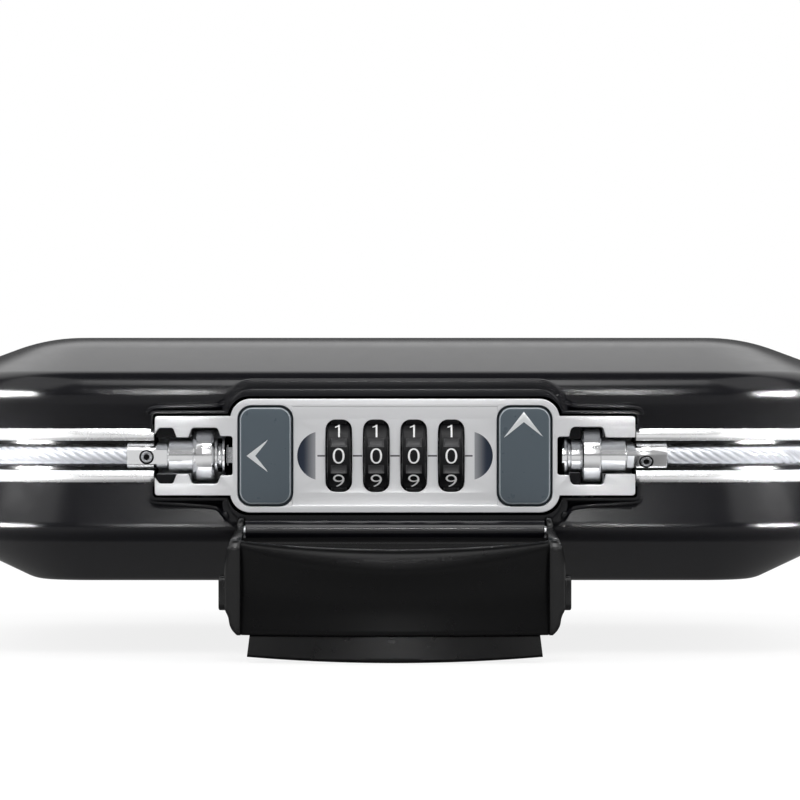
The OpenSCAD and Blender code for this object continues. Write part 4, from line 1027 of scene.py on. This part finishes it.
def grip():
    """Bowed grip: a dished face under a rounded brow that dips in the middle."""
    n = 72
    back = BOW_R - GRIP_T - 0.9
    z1 = -GRIP_LOW
    low = [(BOW_R - 0.12, z1 + 0.12), (BOW_R - 0.5, z1)]
    low += arc(back + 0.6, z1 + 0.6, 0.6, 270, 180, 4)
    rings = []
    for i in range(n + 1):
        x = -ARM_X + 2 * ARM_X * i / n
        w = cos(pi * x / (2 * ARM_X)) ** 0.8
        z0 = -GRIP_TOP - 0.05 - 1.9 * w
        rz, ry = 1.6 + 3.6 * w, 1.3 + 1.7 * w
        brow = [(BOW_R - ry + ry * cos(radians(a)),
                 z0 - rz + rz * sin(radians(a))) for a in range(90, -1, -9)]
        h = z0 - rz - z1 - 0.5
        face = [(BOW_R - 0.9 * sin(pi * k / 16), z0 - rz - h * k / 16)
                for k in range(1, 17)]
        edge = [(back, z0 - 1)] + arc(back + 0.7, z0 - 0.7, 0.7, 180, 90, 3)[1:]
        rings.append([(x, bow_y(x, r), SEAM + z) for r, z in brow + face + low + edge])
    add("carrying_grip", made(loft, rings), "grip_black", "handle", ("handle_grip",), 50)


def lip():
    """Lip under the grip that flares forwards; its lower edge is a wide arc."""
    n, flare, thick, edge = 48, 2.45, 2.4, 0.35
    bottom, bottom_r = 48.2, 500
    down = [k / 10 for k in range(11)]
    rings = []
    for i in range(n + 1):
        u = -1 + 2 * i / n
        row = []
        for t, inner in [(t, False) for t in down] + [(t, True) for t in down[::-1]]:
            x = u * (34.2 + 0.6 * t)
            low = bottom - bottom_r + sqrt(bottom_r ** 2 - x ** 2)
            z = -GRIP_LOW + 0.3 - (low - GRIP_LOW + 0.3) * t
            r = BOW_R - 0.8 + flare * t - (thick if inner else 0)
            if t > 0.95:
                r += edge if inner else -edge
            row.append((x, bow_y(x, r), SEAM + z))
        rings.append(row)
    add("handle_lower_lip", made(loft, rings), "grip_black", "handle", ("handle_lip",), 30)


def follow(z, chain):
    """Straight-line value along a falling chain of (z, value)."""
    if z >= chain[0][0]:
        return chain[0][1]
    for (za, va), (zb, vb) in zip(chain, chain[1:]):
        if z >= zb:
            return va + (vb - va) * (za - z) / (za - zb)
    return chain[-1][1]


def eased(z, chain, w=0.8):
    """The same value, averaged over a height of w both ways."""
    return sum(follow(z + w * k / 3, chain) for k in range(-3, 4)) / 7


def arms():
    """Each arm is lofted downwards from its eye through level sections with rounded corners."""
    bm = bmesh.new()
    out, edge_y, eye_r = ARM_OUT, bow_y(ARM_X), 3.4
    eye_top, arm_low, taper = PIVOT_Z + eye_r, -42.0, -41.3
    outer = [(eye_top, out - 2.5), (PIVOT_Z, out - 1.9), (-21, out - 0.8), (-24.5, out - 0.05),
             (-36, out), (-37.4, out - 0.9), (-40, out - 1.3), (-41.6, out - 2.4),
             (-42.2, out - 3.3)]
    web = [(PIVOT_Z + 1.2, PIVOT_Y - 3.2), (-17.9, -98), (-18.9, edge_y + 2.4), (-19.6, edge_y),
           (-21.4, edge_y - 1.2), (-42.2, edge_y - 1.2)]
    back = [(-20.8, PIVOT_Y + 2.6), (-42.2, edge_y + GRIP_T + 0.8)]
    zs = [eye_top - eye_r * (1 - cos(radians(a))) for a in range(6, 60, 6)]
    zs += [zs[-1] - 0.3 * k for k in range(1, 400) if zs[-1] - 0.3 * k > arm_low + 0.1] + [arm_low]
    for s in (1, -1):
        rings = []
        for z in zs:
            c = sqrt(max(eye_r * eye_r - (z - PIVOT_Z) ** 2, 0))
            y0, y1 = PIVOT_Y - c, PIVOT_Y + c
            if z < PIVOT_Z + 1.2:
                y0 = eased(z, web, 0.5)
            if z < PIVOT_Z - 1.4:
                y1 = FRONT - 0.1 if z > PIVOT_Z - 3.8 else eased(z, back)
            x0, x1 = ARM_X, eased(z, outer)
            hx, hy = (x1 - x0) / 2, (y1 - y0) / 2
            k = 1.0 if z > taper else 1 - 0.5 * (taper - z) ** 2
            rings.append([(s * ((x0 + x1) / 2 + x * k), (y0 + y1) / 2 + y * k, SEAM + z)
                          for x, y in round_rect(hx, hy, min(1.1, hx - 0.05, hy - 0.05), 6)])
        loft(bm, rings)
    add("handle_arms", bm, "handle_black", "handle", ("handle_frame",), 60)
    caps = bmesh.new()
    for s in (1, -1):
        loft(caps, [[(s * x, edge_y + 3.95 + y, SEAM - 32.1 + z)
                     for y, z in round_rect(3.65 - i, 4.1 - i, 1.6 - i, 6)]
                    for x, i in ((ARM_OUT - 0.2, 0), (ARM_OUT + 1.0, 0), (ARM_OUT + 1.28, 0.12),
                                 (ARM_OUT + 1.4, 0.4))])
    add("handle_end_caps", caps, "handle_black", "handle", ("handle_side_caps",), 35)


# Inside
def foam_sheet(name, node, body, z0, inset):
    """Lining with rounded edges on the side that faces the inside of the case."""
    thick = 2
    hx, hy = HALF_W - inset, HALF_D - inset
    rings = []
    for i, z in ((0.4, 0), (0, 0.3), (0, 1.4), (0.35, 1.85), (1.2, thick)):
        level = z0 + z if z0 < SEAM else z0 + thick - z
        rings.append([(x, y, level) for x, y in round_rect(hx - i, hy - i, 6, 8)])
    ob = add(name, made(loft, rings), "foam_grey", body, (node,), 40)


def springs():
    """Coil springs behind the buttons."""
    coils, n, r, wire = 6, 20, 2.7, 0.26
    y0, y1 = PLATE_BACK + 1.5, FRONT + 8 - 0.1
    for button, x in (("cable_button", -BUTTON_X), ("lid_button", BUTTON_X)):
        z = SEAM + STEM_Z[button]
        rings = []
        for i in range(coils * n + 1):
            t = 2 * pi * i / n
            k = i / (coils * n)
            c = Vector((x + r * cos(t), y0 + 0.27 + (y1 - y0 - 0.54) * k, z + r * sin(t)))
            tangent = Vector((-sin(t), 0.12, cos(t))).normalized()
            u = Vector((cos(t), 0, sin(t)))
            rings.append(ring_at(c, u, tangent.cross(u), wire, 8))
        ob = add(button + "_coil", made(loft, rings), "spring_steel", "base",
                 (button + "_spring",), 60)
        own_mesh(ob)


faceplate()
beads()
buttons()
dials()
plugs()
ferrules()
grip()
lip()
arms()
foam_sheet("base_foam_lining", "lower_liner", "base", WALL, 27.0)
foam_sheet("lid_foam_lining", "upper_liner", "lid", SEAM + UPPER_H - WALL - 2, 36.4)
springs()
for name, node, body, axis in (
        ("hinge_base_screws", "hinge_screws_lower", "base", (0, 1, 0)),
        ("hinge_lid_screws", "hinge_screws_upper", "lid", (0, 1, 0)),
        ("cover_screws", "back_cover_screws", "base", (0, 1, 0)),
        ("lock_screws", "lock_mount_screws", "base", (0, 0, 1)),
        ("latch_keeper_screws", "keeper_screws", "lid", (0, 1, 0)),
        ("arm_screws", "handle_screws", "handle", (1, 0, 0))):
    screws(name, node, body, axis)
# CAD pieces that stay as they are get a narrow bevel
for node, width in (("hinge_leaves_lower", 0.25), ("hinge_leaves_upper", 0.25),
                    ("lock_housing", 0.3), ("lock_back_cover", 0.3), ("latch_keepers", 0.25),
                    ("code_reset_tab", 0.2), ("latch_slide", 0.2), ("cable_catch", 0.2)):
    m = nodes[node].modifiers.new("soft_edges", "BEVEL")
    m.width = width * MM
    m.segments = 2
    m.limit_method = "ANGLE"
    m.angle_limit = radians(40)


# Stage
def lamp(name, kind, power, at, target):
    d = bpy.data.lights.new(name, kind)
    d.energy = power
    o = link(name, d)
    o.location = at
    o.rotation_euler = (Vector(target) - Vector(at)).to_track_quat("-Z", "Y").to_euler()
    return o


for name, width, depth, at, power in (("side_left", 0.9, 0.9, (-0.6, -0.45, 0.80), 3.5),
                                      ("side_right", 0.9, 0.9, (0.6, -0.45, 0.80), 3.5),
                                      ("front_top", 0.3, 0.4, (0, -0.60, 0.84), 2.0)):
    d = lamp(name, "AREA", power, at, (0, -0.05, 0.03)).data
    d.shape, d.size, d.size_y = "RECTANGLE", width, depth
# Small spots that only touch the rounded ends, the walls beside the lock and the grip:
# aim, degrees to the side and up, watts, degrees of the cone, radius of the lamp
SPOTS = [((0.094, -0.074, SEAM * MM), wide, high, 60, 2.2, 0.01)
         for wide in (45, 54, 63, 72) for high in (-2, 4, 10)]
SPOTS += [((0.055, -0.086, (SEAM + z) * MM), 3.5, high, power, 1.5, 0.01)
          for z, high, power in ((21, 4, 5), (21, 12, 7), (21, 19, 5), (-24, 4, 5), (-24, 14, 5))]
SPOTS += [((0.014, -0.112, -0.003), 0, 35, 13, 3.1, 0.06)]
SPOT_REACH = 0.95
for side in (-1, 1):
    for k, ((x, y, z), wide, high, power, cone, size) in enumerate(SPOTS):
        a, e = radians(wide), radians(high)
        aim = Vector((side * x, y, z))
        way = Vector((side * sin(a) * cos(e), -cos(a) * cos(e), sin(e)))
        o = lamp("spot_%d_%d" % (side, k), "SPOT", power, aim + SPOT_REACH * way, aim)
        o.data.shadow_soft_size, o.data.spot_size, o.data.spot_blend = size, radians(cone), 0.8
        o.visible_diffuse = False

bm = bmesh.new()
bmesh.ops.create_grid(bm, x_segments=1, y_segments=1, size=6)
floor = link("floor", to_mesh(bm, "floor"))
floor.location = (0, 0, cad_box[0][2] - 0.0002)
# The floor glows a little for the camera, and for reflections from a ring round the object on;
# inside that ring its glow for reflections is dim, a painted shadow of the object.
fm = material("floor", (0.8, 0.8, 0.8), 0.9)
tint(fm, noise(fm, 3), (0.79, 0.79, 0.79), (0.81, 0.81, 0.81))
t = fm.node_tree
x, y, z = xyz(t, "Object")
r = calc(t, "SQRT", calc(t, "ADD", calc(t, "MULTIPLY", x, x), calc(t, "MULTIPLY", y, y)))
lp = shader(t, "LightPath")
out = bsdf(fm).outputs["BSDF"]
for rays, share, level in (("Is Glossy Ray", 1.0, smooth(t, r, 0.1, 0.2, 0.17, 0.72)),
                           ("Is Camera Ray", 0.75, 1.12)):
    glow = shader(t, "Emission", ("Strength", level)).outputs["Emission"]
    out = shader(t, "MixShader", (0, calc(t, "MULTIPLY", lp.outputs[rays], share)), (1, out),
                 (2, glow)).outputs["Shader"]
t.links.new(out, t.nodes["Material Output"].inputs["Surface"])
floor.data.materials.append(fm)

# Studio round the object: pale in front above eye level, dark overhead, a pale wall high at the
# back, and a pale box in front that only reflections see
world = bpy.data.worlds.new("studio")
scene.world = world
world.use_nodes = True
t = world.node_tree
x, y, z = xyz(t, "Generated")
lp = shader(t, "LightPath")
side = calc(t, "ABSOLUTE", x)
total = 0.14
for first, *masks in (
        (smooth(t, z, 0.03, 0.15, 0.03, 0.26), smooth(t, y, 0.1, -0.4),
         smooth(t, z, 0.78, 0.92, 1.0, 0.0)),
        (smooth(t, y, 0.1, 0.35), smooth(t, z, 0.36, 0.5), smooth(t, z, 0.84, 0.93, 1.5, 0.0)),
        (lp.outputs["Is Glossy Ray"], smooth(t, y, 0.0, -0.2),
         smooth(t, side, 0.05, 0.085, 1.0, 0.0), smooth(t, z, 0.12, 0.18),
         smooth(t, z, 0.42, 0.52, 2.2, 0.0))):
    for mask in masks:
        first = calc(t, "MULTIPLY", first, mask)
    total = calc(t, "ADD", first, total)
lit, seen = [shader(t, "Background", ("Color", (1, 1, 1, 1)), ("Strength", level))
             for level in (total, 1.0)]
mix = shader(t, "MixShader", (0, lp.outputs["Is Camera Ray"]), (1, lit.outputs[0]),
             (2, seen.outputs[0]))
t.links.new(mix.outputs["Shader"], t.nodes["World Output"].inputs["Surface"])

cam = bpy.data.cameras.new("camera")
cam.lens = 187.5
camera = link("camera", cam)
camera.location = (0.0012, -1.0896, (SEAM + 13.4) * MM)
camera.rotation_euler = (pi / 2, 0, 0)
scene.camera = camera
scene.view_settings.view_transform = "Standard"
